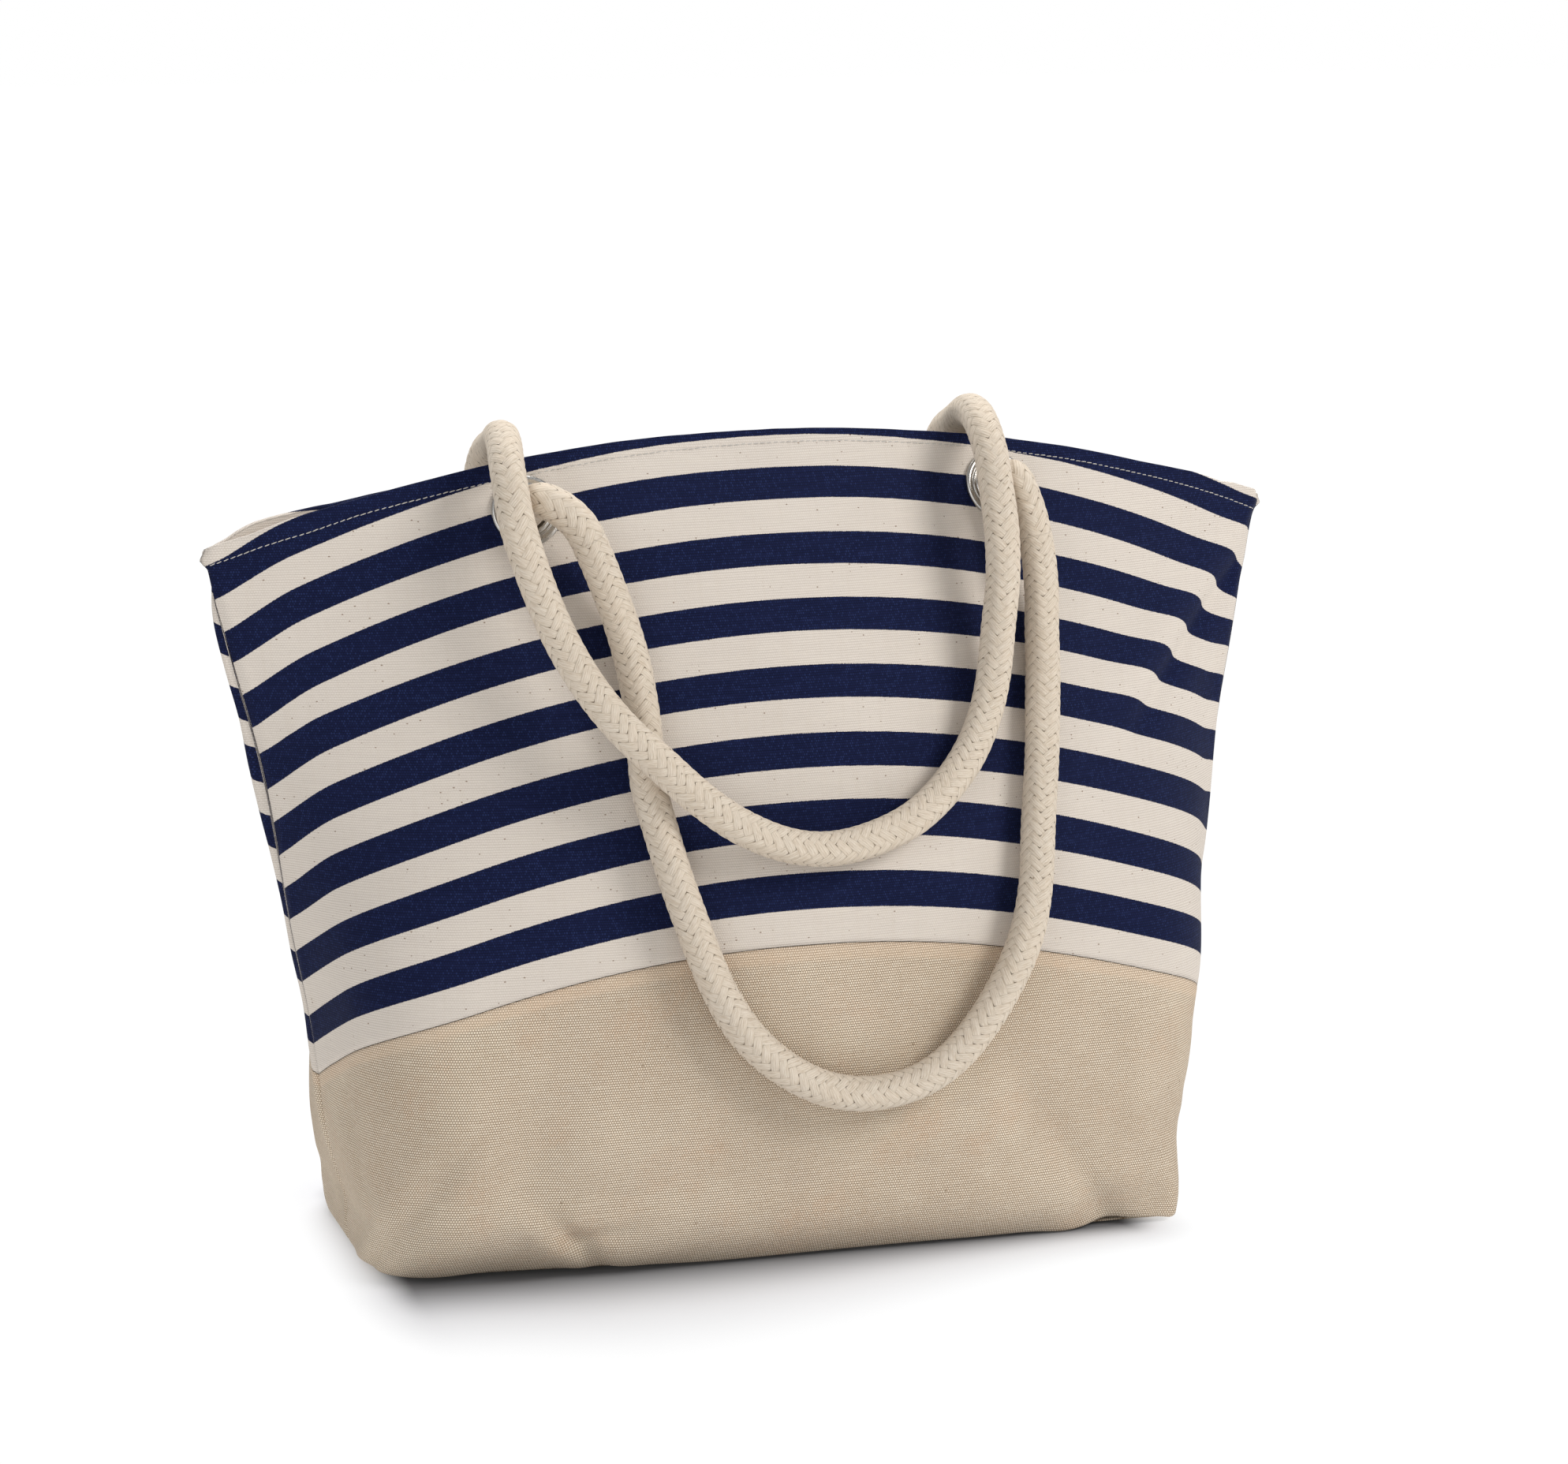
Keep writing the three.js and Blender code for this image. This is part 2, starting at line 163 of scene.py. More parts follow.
def turn(p):
    psi = TWIST * np.clip(1 - p[..., 2] / 300.0, 0, 1)
    c, n = np.cos(psi), np.sin(psi)
    return np.stack([p[..., 0] * c - p[..., 1] * n, p[..., 0] * n + p[..., 1] * c, p[..., 2]], -1)


def normal(s, z, back):
    z = np.maximum(z, 12.0)
    e = 0.004
    a = section(np.clip(s + e, -1, 1), z, back) - section(np.clip(s - e, -1, 1), z, back)
    b = section(s, z + 1.0, back) - section(s, z - 1.0, back)
    n = np.cross(a, b)
    n /= np.maximum(np.linalg.norm(n, axis=-1, keepdims=True), 1e-9)
    return -n if back else n


# Printed lines across the front, in mm: height = c0 + c1 s + c2 s2 + c3 s3 + c4 s4.
LINES = 10.0 * np.array([
    [15.44, 17.07, 18.73, 20.33, 21.98, 23.47, 25.03, 26.61, 28.11, 29.66, 31.15, 32.69, 34.13, 35.66, 37.09, 38.52],
    [-.47, -.39, -.41, -.36, -.35, -.42, -.39, -.45, -.31, -.31, -.26, -.38, -.27, -.13, -.17, -.04],
    [-6.88, -6.97, -7.01, -6.95, -6.81, -6.46, -6.30, -6.32, -6.07, -6.09, -6.09, -6.09, -6.03, -6.10, -6.05, -6.32],
    [.36, .19, .32, .23, .35, .71, .74, .76, .55, .44, .21, .49, .32, .03, .18, .04],
    [.01, -.09, -.23, -.20, -.35, -.20, -.12, -.06, -.24, -.28, -.20, -.35, -.29, -.36, -.26, .09]])
BAND = np.array([-0.5] + [0.5 * k for k in range(15)])  # 0..7 at the lower edges of the navy bands
PITCH = 30.5  # one navy and one natural band


def seam_z(s):
    return 154.4 - 4.7 * s - 68.8 * s * s + 3.6 * s ** 3


def old_top(s):
    return 388.5 - 1.6 * s - 43.8 * s * s + 2.7 * s ** 3 - 6 * s ** 4


def top_z(s, back):
    if back:
        return (378 - s - 33 * s * s + 1.5 * s ** 3 - 6 * s ** 4 + 3.0 * smooth((np.abs(s) - 0.86) / 0.14)
                + np.interp(s, [-1, -.98, -.96, -.94, -.92, -.9, -.87, -.84, -.8, -.75, -.7, -.6, .84, .9, .95, 1],
                            [0.5, 2.0, 3.3, 4.6, 5.5, 6.0, 5.8, 4.8, 3.5, 1.7, 0.8, 0, 0, 1.0, 1.0, 0]))
    return old_top(s) + np.interp(s, [-1, -.965, -.92, -.85, -.78, -.7, -.6, .72, .8, .834, .874, .9, .93, .965, .985, 1],
                                  [5.2, 4.5, 2.9, 2.7, 1.6, 0.6, 0, 0, 1.0, 1.7, 1.6, 1.5, 3.0, 3.6, 4.2, 3.8])


def stitch_z(s, back):
    """Height of the hem's line of stitches."""
    if back:
        return top_z(s, True) - 6.0
    return (382.0 + 0.7 * s - 48.2 * s * s + 2.6 * s ** 3 - 2.7 * s ** 4
            + np.interp(s, [-1, -.947, -.9, -.82, -.74, -.62, -.45, .7, 1], [7.0, 6.0, 5.3, 3.5, 3.3, 1.6, 0, 0, 0.3]))


def powers(s):
    return np.stack([np.ones_like(s), s, s * s, s ** 3, s ** 4], 0)


def crease_pq(s, z):
    """Coordinates across and along the fold that falls from the right-hand corner, in mm."""
    x = s * wr(np.clip(z, 0, 390))
    p = (x - 212) * 0.643 - (z - 267) * 0.766
    q = (x - 212) * 0.766 + (z - 267) * 0.643
    return p, q


def stripe_shift(s, z, back):
    """How far the cloth has crept along the panel beside its folds."""
    if back:
        p, q = crease_pq(-s, z)
        amp = 0.0 * q
    else:
        p, q = crease_pq(s, z)
        amp = 2.1 * smooth((q + 70) / 75)
    sharp = 7.0 + 4.5 * smooth((20 - q) / 70)   # the fold opens out towards its lower end
    side = 0.5 + 0.5 * np.tanh(-(p + 2.5) / sharp)      # 1 to its left, 0 to its right
    left = np.exp(-((p + 10) / 13) ** 2)
    right = -1.15 * np.exp(-((p - 5) / 15) ** 2)
    out = amp * (side * left + (1 - side) * right)
    if not back:
        mid = smooth((z - 150) / 40) * smooth((300 - z) / 50)
        out = out + mid * 3.0 * smooth((s - 0.92) / 0.08) - smooth((z - 150) / 40) * 3.4 * smooth((-s - 0.86) / 0.14)
    return out


def band_at(s, z, back):
    """Band coordinate: navy where its fraction is under a half."""
    k = LINES.T @ powers(s)  # 16 x n
    if back:
        f = (top_z(s, True) - seam_z(s)) / (top_z(s, False) - seam_z(s))
        k = seam_z(s) + (k - seam_z(s)) * f
    h = np.full_like(s, 15.4)
    out = np.empty_like(z)
    for j in range(len(s)):
        out[:, j] = np.interp(z[:, j], k[:, j], BAND)
        over = z[:, j] > k[15, j]
        out[over, j] = 7 + 0.5 * (z[over, j] - k[15, j]) / h[j]
    return out


EYES = {
    "front_left": (-124.0, 356.0, False), "front_right": (115.0, 357.0, False),
    "back_left": (-121.0, 344.0, True), "back_right": (118.5, 344.0, True)}


def locate(x, z, back):
    lo, hi = -1.0, 1.0
    for _ in range(50):
        m = (lo + hi) / 2
        if turn(section(m, z, back))[0] < x:
            lo = m
        else:
            hi = m
    e = 0.002
    a = turn(section(m + e, z, back)) - turn(section(m - e, z, back))
    b = turn(section(m, z + 0.5, back)) - turn(section(m, z - 0.5, back))
    n = np.cross(a, b)
    n /= np.linalg.norm(n)
    return m, turn(section(m, z, back)), -n if back else n


EYE = {k: locate(*v) for k, v in EYES.items()}  # s, point, direction


def relief(s, z, back):
    """Outward displacement of the cloth in mm: slack, folds and puckers, shared by every layer."""
    d = np.zeros_like(z)
    L = half_length(s, z, back)
    x = s * L
    inner = smooth((1 - np.abs(s)) / 0.10)  # none at the side seams
    grow = smooth((z - 6) / 40)
    # broad slack waves
    k = -1.0 if back else 1.0
    d += inner * grow * (
        1.3 * np.sin(x / 61.0 + z / 83.0 + 0.4 * k) * np.sin(z / 70.0 + 0.8)
        + 0.8 * np.sin(x / 34.0 - z / 47.0 + 1.1 * k) * np.sin(z / 52.0 + 2.0 * k)
        + 0.35 * np.sin(x / 17.0 + z / 23.0 + 2.0 * k))
    if not back:
        # the fold from the right-hand corner
        p, q = crease_pq(s, z)
        amp = smooth((q + 66) / 45) * smooth((1 - s) / 0.03)
        d += amp * (2.6 * np.exp(-((p + 16) / 13) ** 2) - 2.7 * np.exp(-((p - 1) / 5.4) ** 2) + 1.0 * np.exp(-((p - 15) / 9) ** 2))
        # slack where the floor's front corners pull the wall in
        d += -3.6 * bump(x, -139, 15) * bump(z, 58, 24) + 2.4 * bump(x, -166, 13) * bump(z, 62, 34)
        d += 2.2 * bump(x, -112, 16) * bump(z, 66, 30)
        c = (x + 117) + 0.9 * (z - 22)                     # the pleat beside the front-left corner
        d += (-3.3 * np.exp(-(c / 6.5) ** 2) + 2.4 * np.exp(-((c + 13) / 9) ** 2)) * bump(z, 18, 17)
        c = (z - 21) - 0.10 * (x + 118)
        d += -2.0 * np.exp(-(c / 5) ** 2) * smooth((x + 122) / 10) * smooth((-72 - x) / 30)
        d += 1.6 * bump(z, 9, 7) * smooth((x + 122) / 14) * smooth((-50 - x) / 40)
        c = (x - 150) + 0.62 * (z - 10)                    # slack running up from the front-right corner
        d += (-2.9 * np.exp(-(c / 9) ** 2) + 1.7 * np.exp(-((c + 22) / 15) ** 2) + 1.2 * np.exp(-((c - 22) / 14) ** 2)) * smooth((105 - z) / 80)
        c = (x - 108) + 0.2 * (z - 50)
        d += -1.3 * np.exp(-(c / 11) ** 2) * bump(z, 48, 34) + 1.0 * bump(x, 84, 16) * bump(z, 60, 40)
        c = (x + 205) - 0.7 * (z - 20)
        d += -2.0 * np.exp(-(c / 7) ** 2) * smooth((110 - z) / 70) + 1.2 * np.exp(-((c + 17) / 9) ** 2) * smooth((110 - z) / 70)
        c = (x + 236) + 0.5 * (z - 60)
        d += -1.6 * np.exp(-(c / 8) ** 2) * bump(z, 60, 34)
        d += -1.6 * bump(x, 40, 60) * bump(z, 30, 26)
        # soft waves that run with the canvas
        d += 0.9 * np.sin(x / 27.0 + 0.6 * np.sin(z / 40.0)) * smooth((z - 175) / 60) * smooth((360 - z) / 40) * bump(x, -190, 70)
    else:
        c = (x - 160) + 0.6 * (z - 20)
        d += -2.6 * np.exp(-(c / 9) ** 2) * smooth((90 - z) / 60)
        c = (x + 165) - 0.5 * (z - 20)
        d += -2.8 * np.exp(-(c / 10) ** 2) * smooth((80 - z) / 60)
        d += -2.4 * bump(x, 30, 22) * bump(z, 26, 12)
    # flat cloth under the eyelets and pulled cloth round them
    for key, (ex, ez, eb) in EYES.items():
        if eb == back:
            es = EYE[key][0]
            dx, dz = (s - es) * L, z - ez
            r = np.hypot(dx, dz)
            d *= smooth((r - 17.5) / 24)
            a = np.arctan2(dz, dx)
            ring = smooth((r - 16) / 10) * np.exp(-(r / 42) ** 2)
            d += ring * (0.9 * np.cos(3 * a + 0.7) + 0.5 * np.cos(5 * a))
    return d


def lift_of(s, z, back):
    """Small rises of the bottom edge off the ground."""
    x = s * half_length(s, z, back)
    fade = smooth((34 - z) / 34)
    if back:
        return fade * (2.2 * bump(x, 30, 24))
    return fade * (2.6 * bump(x, -150, 34) + 2.2 * bump(x, -112, 15) + 1.6 * bump(x, -80, 22) + 2.6 * smooth((x - 128) / 34) * smooth((198 - x) / 22))


roll_left = herm([0, 30, 50, 71, 99, 123, 147, 170, 194, 217, 240, 263, 286, 309, 321, 331, 400],
                 [0, 0, 0.6, 1.8, 1.6, 0.9, 1.7, 2.0, 4.4, 7.2, 8.4, 7.4, 7.6, 6.4, 3.8, 0, 0])


def cloth(s, z, off, back, extra=0.0):
    """Points of a cloth layer at an offset from the middle surface."""
    n = normal(s, z, back)
    p = section(s, z, back) + n * relief(s, z, back)[..., None]
    if back:
        # beside the left-hand seam the layers lie along the roll, not along the plain section
        e = (1 - np.abs(s)) * half_length(s, z, back)
        flat = np.maximum(np.hypot(n[..., 0], n[..., 1]), 1e-6)
        slope = np.where(s < 0, roll_left(z), 0.0) * (1 - e / 7) * np.exp(1 - e / 7) / 7
        tx, ty = n[..., 1] / flat - slope, -n[..., 0] / flat
        m = np.hypot(tx, ty)
        n = np.stack([-ty / m * flat, tx / m * flat, n[..., 2]], -1)
    p = p + n * (off + extra)[..., None]
    p[..., 2] = np.maximum(p[..., 2] + lift_of(s, z, back), 0.3)
    if back:
        # the back panel rolls out past the left-hand seam
        e = (1 - np.abs(s)) * half_length(s, z, back)
        roll = (e / 7) * np.exp(1 - e / 7)
        right = 2.0 * smooth((z - 30) / 70) * smooth((332 - z) / 22)
        p[..., 0] -= np.where(s < 0, roll_left(z), -right) * roll
    # the turned hem is stiffer than the side seam below it, and stands out at its ends
    st = stitch_z(s, back)
    ear = smooth((z - st + 2.0) / 4.0) * smooth((np.abs(s) - 0.962) / 0.038)
    rounded = smooth((z - top_z(s, back) + 5.0) / 5.0) * smooth((np.abs(s) - 0.975) / 0.025)
    p[..., 0] += np.sign(s) * (ear * (np.where(s < 0, 2.8, 2.6) if back else np.where(s < 0, 2.2, 0.6)) - 2.6 * rounded)
    if back:
        p[..., 1] = np.maximum(p[..., 1], 0.12)
    else:
        p[..., 1] = np.minimum(p[..., 1], -0.12)
    return turn(p)


def seam_groove(s, z, back):
    """The cloth rolls in at the side seams."""
    edge = (1 - np.abs(s)) * half_length(s, z, back)
    return -1.5 * np.exp(-(edge / 1.9) ** 2) + 0.35 * np.exp(-((edge - 5) / 3.0) ** 2)


# ------------------------------------------------------------------- meshes
def new_mesh(name, verts, faces, material, uv=None, attrs=None, smooth_faces=True, flat_faces=None):
    """A mesh object from mm vertices. uv is per vertex, {layer: (n, 2)}; attrs is per vertex, {name: (n,)}."""
    me = bpy.data.meshes.new(name)
    me.from_pydata((np.asarray(verts) * MM).tolist(), [], [list(map(int, f)) for f in faces])
    me.update()
    if smooth_faces:
        flags = np.ones(len(me.polygons), bool)
        if flat_faces is not None:
            flags[flat_faces] = False
        me.polygons.foreach_set("use_smooth", flags)
    loops = np.empty(len(me.loops), np.int32)
    me.loops.foreach_get("vertex_index", loops)
    for layer, values in (uv or {}).items():
        u = me.uv_layers.new(name=layer)
        u.data.foreach_set("uv", np.asarray(values, np.float32)[loops].ravel())
    for key, values in (attrs or {}).items():
        a = me.attributes.new(key, "FLOAT", "POINT")
        a.data.foreach_set("value", np.asarray(values, np.float32))
    if material is not None:
        me.materials.append(material)
    ob = bpy.data.objects.new(name, me)
    scene.collection.objects.link(ob)
    return ob


# ---------------------------------------------------------------- materials
class Tree:
    """Short names for building a material's nodes."""

    def __init__(self, name):
        self.mat = bpy.data.materials.new(name)
        self.mat.use_nodes = True
        self.nt = self.mat.node_tree
        self.nt.nodes.clear()
        self.out = self.nt.nodes.new("ShaderNodeOutputMaterial")
        self.bsdf = self.nt.nodes.new("ShaderNodeBsdfPrincipled")
        self.nt.links.new(self.bsdf.outputs[0], self.out.inputs[0])

    def put(self, socket, value):
        if isinstance(value, bpy.types.NodeSocket):
            self.nt.links.new(value, socket)
        elif isinstance(value, (tuple, list)):
            socket.default_value = tuple(value) + ((1.0,) if len(value) == 3 and len(socket.default_value) == 4 else ())
        else:
            socket.default_value = value

    def m(self, op, *args, clamp=False):
        n = self.nt.nodes.new("ShaderNodeMath")
        n.operation = op
        n.use_clamp = clamp
        for i, a in enumerate(args):
            self.put(n.inputs[i], a)
        return n.outputs[0]

    def sstep(self, x, lo, hi):
        n = self.nt.nodes.new("ShaderNodeMapRange")
        n.interpolation_type = "SMOOTHSTEP"
        self.put(n.inputs["Value"], x)
        n.inputs["From Min"].default_value, n.inputs["From Max"].default_value = lo, hi
        return n.outputs["Result"]

    def remap(self, x, lo, hi, a, b):
        n = self.nt.nodes.new("ShaderNodeMapRange")
        self.put(n.inputs["Value"], x)
        for k, v in (("From Min", lo), ("From Max", hi), ("To Min", a), ("To Max", b)):
            n.inputs[k].default_value = v
        return n.outputs["Result"]

    def mix(self, f, a, b, blend="MIX"):
        n = self.nt.nodes.new("ShaderNodeMix")
        n.data_type = "RGBA"
        n.blend_type = blend
        self.put(n.inputs["Factor"], f)
        self.put(n.inputs[6], a)
        self.put(n.inputs[7], b)
        return n.outputs[2]

    def uv(self, layer):
        n = self.nt.nodes.new("ShaderNodeUVMap")
        n.uv_map = layer
        s = self.nt.nodes.new("ShaderNodeSeparateXYZ")
        self.nt.links.new(n.outputs[0], s.inputs[0])
        return n.outputs[0], s.outputs[0], s.outputs[1]

    def attr(self, name):
        n = self.nt.nodes.new("ShaderNodeAttribute")
        n.attribute_name = name
        return n.outputs["Fac"]

    def vec(self, x, y, z=0.0):
        n = self.nt.nodes.new("ShaderNodeCombineXYZ")
        for i, a in enumerate((x, y, z)):
            self.put(n.inputs[i], a)
        return n.outputs[0]

    def noise(self, vector, scale, detail=2.0, rough=0.5, dims="3D"):
        n = self.nt.nodes.new("ShaderNodeTexNoise")
        n.noise_dimensions = dims
        self.put(n.inputs["Vector"], vector)
        n.inputs["Scale"].default_value = scale
        n.inputs["Detail"].default_value = detail
        n.inputs["Roughness"].default_value = rough
        return n.outputs["Fac"]

    def white(self, vector):
        n = self.nt.nodes.new("ShaderNodeTexWhiteNoise")
        n.noise_dimensions = "2D"
        self.put(n.inputs["Vector"], vector)
        return n.outputs["Value"]

    def voronoi(self, vector, scale, randomness=1.0):
        n = self.nt.nodes.new("ShaderNodeTexVoronoi")
        n.feature = "F1"
        self.put(n.inputs["Vector"], vector)
        n.inputs["Scale"].default_value = scale
        n.inputs["Randomness"].default_value = randomness
        return n.outputs["Distance"], n.outputs["Color"]

    def bump(self, height, distance, strength=1.0):
        n = self.nt.nodes.new("ShaderNodeBump")
        n.inputs["Distance"].default_value = distance
        n.inputs["Strength"].default_value = strength
        self.put(n.inputs["Height"], height)
        self.nt.links.new(n.outputs[0], self.bsdf.inputs["Normal"])

    def set(self, **values):
        for k, v in values.items():
            self.put(self.bsdf.inputs[k.replace("_", " ")], v)


def lin(*rgb):
    return tuple(((c / 255) / 12.92 if c / 255 <= 0.04045 else ((c / 255 + 0.055) / 1.055) ** 2.4) for c in rgb)


def weave(t, u, v, across, rows, wobble, seed, fill=0.62):
    """A plain weave: raised beads in staggered rows. Returns height 0..1, the bead mask and a random value per bead."""
    base = t.vec(u, v, seed)
    w1 = t.noise(base, 90.0, 3.0)
    w2 = t.noise(t.vec(t.m("MULTIPLY", u, 0.25), v, seed + 3), 260.0, 2.0)
    U = t.m("ADD", t.m("DIVIDE", u, across), t.m("MULTIPLY", t.m("SUBTRACT", w1, 0.5), wobble))
    V = t.m("ADD", t.m("DIVIDE", v, rows), t.m("MULTIPLY", t.m("SUBTRACT", w2, 0.5), wobble * 0.8))
    row = t.m("FLOOR", V)
    fv = t.m("SUBTRACT", t.m("FRACT", V), 0.5)
    Us = t.m("ADD", U, t.m("MULTIPLY", t.m("MODULO", t.m("ABSOLUTE", row), 2.0), 0.5))
    col = t.m("FLOOR", Us)
    fu = t.m("SUBTRACT", t.m("FRACT", Us), 0.5)
    r2 = t.m("ADD", t.m("POWER", t.m("DIVIDE", fu, 0.40), 2.0), t.m("POWER", t.m("DIVIDE", fv, 0.52), 2.0))
    bead = t.m("SQRT", t.m("MAXIMUM", t.m("SUBTRACT", 1.0, r2), 0.0))
    weft = t.m("MULTIPLY", t.m("SQRT", t.m("MAXIMUM", t.m("SUBTRACT", 1.0, t.m("POWER", t.m("MULTIPLY", fv, 2.1), 2.0)), 0.0)), fill)
    h = t.m("MAXIMUM", bead, weft)
    rnd = t.white(t.vec(col, row))
    return h, bead, rnd, row


def canvas_material(name, kind="panel"):
    t = Tree(name)
    _, u, v = t.uv("cloth")
    here = t.vec(u, v, 0.0)
    h, bead, rnd, row = weave(t, u, v, 0.00118, 0.00116, 0.55, 1.0)
    # flecks of seed in the natural cloth
    stretched = t.vec(u, t.m("MULTIPLY", v, 1.6), 0.0)
    d1, c1 = t.voronoi(stretched, 330.0)
    pick = t.nt.nodes.new("ShaderNodeSeparateColor")
    t.nt.links.new(c1, pick.inputs[0])
    fleck = t.m("MULTIPLY", t.sstep(t.m("SUBTRACT", 0.20, d1), 0.0, 0.08), t.sstep(pick.outputs[0], 0.78, 0.95))
    long_fleck = t.sstep(t.noise(t.vec(t.m("MULTIPLY", u, 2.6), v, 4.0), 520.0, 1.0), 0.74, 0.83)
    blot = t.noise(here, 22.0, 3.0)
    rows_tone = t.noise(t.vec(t.m("MULTIPLY", u, 0.06), v, 9.0), 620.0, 1.0)
    cols_tone = t.noise(t.vec(u, t.m("MULTIPLY", v, 0.06), 10.0), 480.0, 1.0)
    cream = t.mix(blot, lin(220, 211, 201), lin(229, 220, 210))
    # painted shade: the cream is darkened down between the raised threads of the weave
    cream = t.mix(t.m("MULTIPLY", t.m("SUBTRACT", 1.0, h), 0.44), cream, lin(176, 160, 142))
    cream = t.mix(t.m("MULTIPLY", t.sstep(rows_tone, 0.42, 0.72), 0.12), cream, lin(236, 227, 212))
    cream = t.mix(t.m("MULTIPLY", t.sstep(cols_tone, 0.45, 0.75), 0.10), cream, lin(204, 190, 172))
    cream = t.mix(t.m("MULTIPLY", long_fleck, 0.30), cream, lin(176, 150, 120))
    cream = t.mix(t.m("MULTIPLY", fleck, 0.80), cream, lin(122, 94, 68))
    navy = t.mix(t.m("POWER", h, 1.6), lin(8, 12, 36), lin(20, 30, 69))
    navy = t.mix(t.m("MULTIPLY", t.sstep(rnd, 0.45, 1.0), t.m("MULTIPLY", bead, 0.32)), navy, lin(54, 70, 122))
    navy = t.mix(t.m("MULTIPLY", t.sstep(blot, 0.35, 0.75), 0.20), navy, lin(20, 26, 60))
    navy = t.mix(t.m("MULTIPLY", t.sstep(rows_tone, 0.42, 0.75), 0.16), navy, lin(34, 42, 84))
    if kind == "panel":
        b = t.attr("band")
        fuzz = t.m("MULTIPLY", t.m("SUBTRACT", t.noise(t.vec(u, v, 2.0), 1400.0, 1.0), 0.5), 0.016)
        teeth = t.m("MULTIPLY", t.m("SUBTRACT", h, 0.6), 0.006)
        f = t.m("FRACT", t.m("ADD", t.m("ADD", b, 8.0), t.m("ADD", fuzz, teeth)))
        inside = t.m("SUBTRACT", 0.25, t.m("ABSOLUTE", t.m("SUBTRACT", f, 0.25)))
        near_zero = t.m("SUBTRACT", 0.25, t.m("ABSOLUTE", t.m("SUBTRACT", f, 1.25)))
        edge = t.m("MAXIMUM", inside, near_zero)
        printed = t.m("MULTIPLY", t.sstep(edge, -0.006, 0.006), t.sstep(t.attr("face"), 0.35, 0.65))
        colour = t.mix(printed, cream, navy)
        rough = t.m("SUBTRACT", 0.94, t.m("MULTIPLY", printed, 0.10))
    else:
        colour, rough = cream, 0.93
    # painted shade: the canvas is darkened along its side seams and its lower edge, where the cloth rolls in
    painted_seam_shade = t.attr("painted_shade")
    colour = t.mix(t.m("MULTIPLY", painted_seam_shade, 0.55), colour, lin(60, 50, 42))
    t.set(Base_Color=colour, Roughness=rough)
    t.bsdf.inputs["Specular IOR Level"].default_value = 0.12
    t.bsdf.inputs["Sheen Weight"].default_value = 0.035
    t.bsdf.inputs["Sheen Roughness"].default_value = 0.45
    hairs = t.noise(here, 5200.0, 2.0)
    height = t.m("ADD", t.m("ADD", h, t.m("MULTIPLY", rnd, 0.12)), t.m("MULTIPLY", hairs, 0.22))
    t.bump(height, 0.00022, 0.75)
    return t.mat


def juco_material(name):
    t = Tree(name)
    _, u, v = t.uv("cloth")
    here = t.vec(u, v, 0.0)
    h, bead, rnd, row = weave(t, u, v, 0.00121, 0.00116, 0.60, 5.0, 0.42)
    slub = t.noise(t.vec(t.m("MULTIPLY", u, 0.11), v, 7.0), 700.0, 2.0)
    slub2 = t.noise(t.vec(u, t.m("MULTIPLY", v, 0.08), 8.0), 600.0, 2.0)
    patch = t.noise(here, 12.0, 4.0, 0.6)
    patch2 = t.noise(t.vec(u, v, 6.0), 26.0, 3.0, 0.6)
    grey = t.noise(t.vec(t.m("MULTIPLY", u, 0.5), v, 12.0), 60.0, 3.0, 0.6)
    base = t.mix(t.sstep(patch, 0.35, 0.65), lin(231, 213, 190), lin(247, 231, 208))
    base = t.mix(t.m("MULTIPLY", t.sstep(patch2, 0.50, 0.74), 0.42), base, lin(240, 204, 174))
    base = t.mix(t.m("MULTIPLY", t.sstep(grey, 0.52, 0.74), 0.30), base, lin(220, 207, 192))
    # painted shade and highlight in the weave: darker brown down in its gaps and between the beads, lighter on the
    # raised beads; each bead is also a random amount lighter, the fibres' own tone
    light = t.mix(t.m("MULTIPLY", rnd, 0.6), base, lin(250, 241, 224))
    c = t.mix(t.m("POWER", h, 1.2), lin(144, 120, 93), base)
    c = t.mix(t.m("MULTIPLY", t.m("POWER", bead, 1.3), 0.95), c, light)
    c = t.mix(t.m("MULTIPLY", t.m("MULTIPLY", t.m("SUBTRACT", 1.0, bead), t.sstep(h, 0.0, 0.6)), 0.20), c, lin(186, 162, 134))
    c = t.mix(t.m("MULTIPLY", t.sstep(slub, 0.56, 0.74), 0.16), c, lin(240, 228, 206))
    c = t.mix(t.m("MULTIPLY", t.sstep(slub, 0.46, 0.28), 0.12), c, lin(168, 142, 112))
    c = t.mix(t.m("MULTIPLY", t.sstep(slub2, 0.56, 0.74), 0.10), c, lin(168, 142, 112))
    d1, c1 = t.voronoi(here, 170.0)
    pick = t.nt.nodes.new("ShaderNodeSeparateColor")
    t.nt.links.new(c1, pick.inputs[0])
    fleck = t.m("MULTIPLY", t.sstep(t.m("SUBTRACT", 0.14, d1), 0.0, 0.08), t.sstep(pick.outputs[0], 0.92, 1.0))
    c = t.mix(t.m("MULTIPLY", fleck, 0.55), c, lin(126, 98, 70))
    # a slightly warmer line where the turned edge lies under the join
    c = t.mix(t.m("MULTIPLY", t.attr("join"), 0.30), c, lin(234, 204, 174))
    # painted shade: the jute is darkened along its side seams, under the join with the canvas and where it turns under
    # the wall
    c = t.mix(t.m("MULTIPLY", t.attr("painted_shade"), 0.5), c, lin(110, 88, 64))
    t.set(Base_Color=c, Roughness=t.remap(h, 0.0, 1.0, 0.97, 0.86))
    t.bsdf.inputs["Specular IOR Level"].default_value = 0.12
    t.bsdf.inputs["Sheen Weight"].default_value = 0.06
    t.bsdf.inputs["Sheen Roughness"].default_value = 0.5
    hairs = t.noise(here, 4200.0, 2.0)
    height = t.m("ADD", t.m("ADD", h, t.m("MULTIPLY", rnd, 0.25)), t.m("ADD", t.m("MULTIPLY", hairs, 0.25), t.m("MULTIPLY", slub, 0.2)))
    t.bump(height, 0.00040, 0.9)
    return t.mat


STRANDS = 8           # strands each way round the rope
BRAID_PITCH = 5.7     # mm along the rope from one crossing to the next


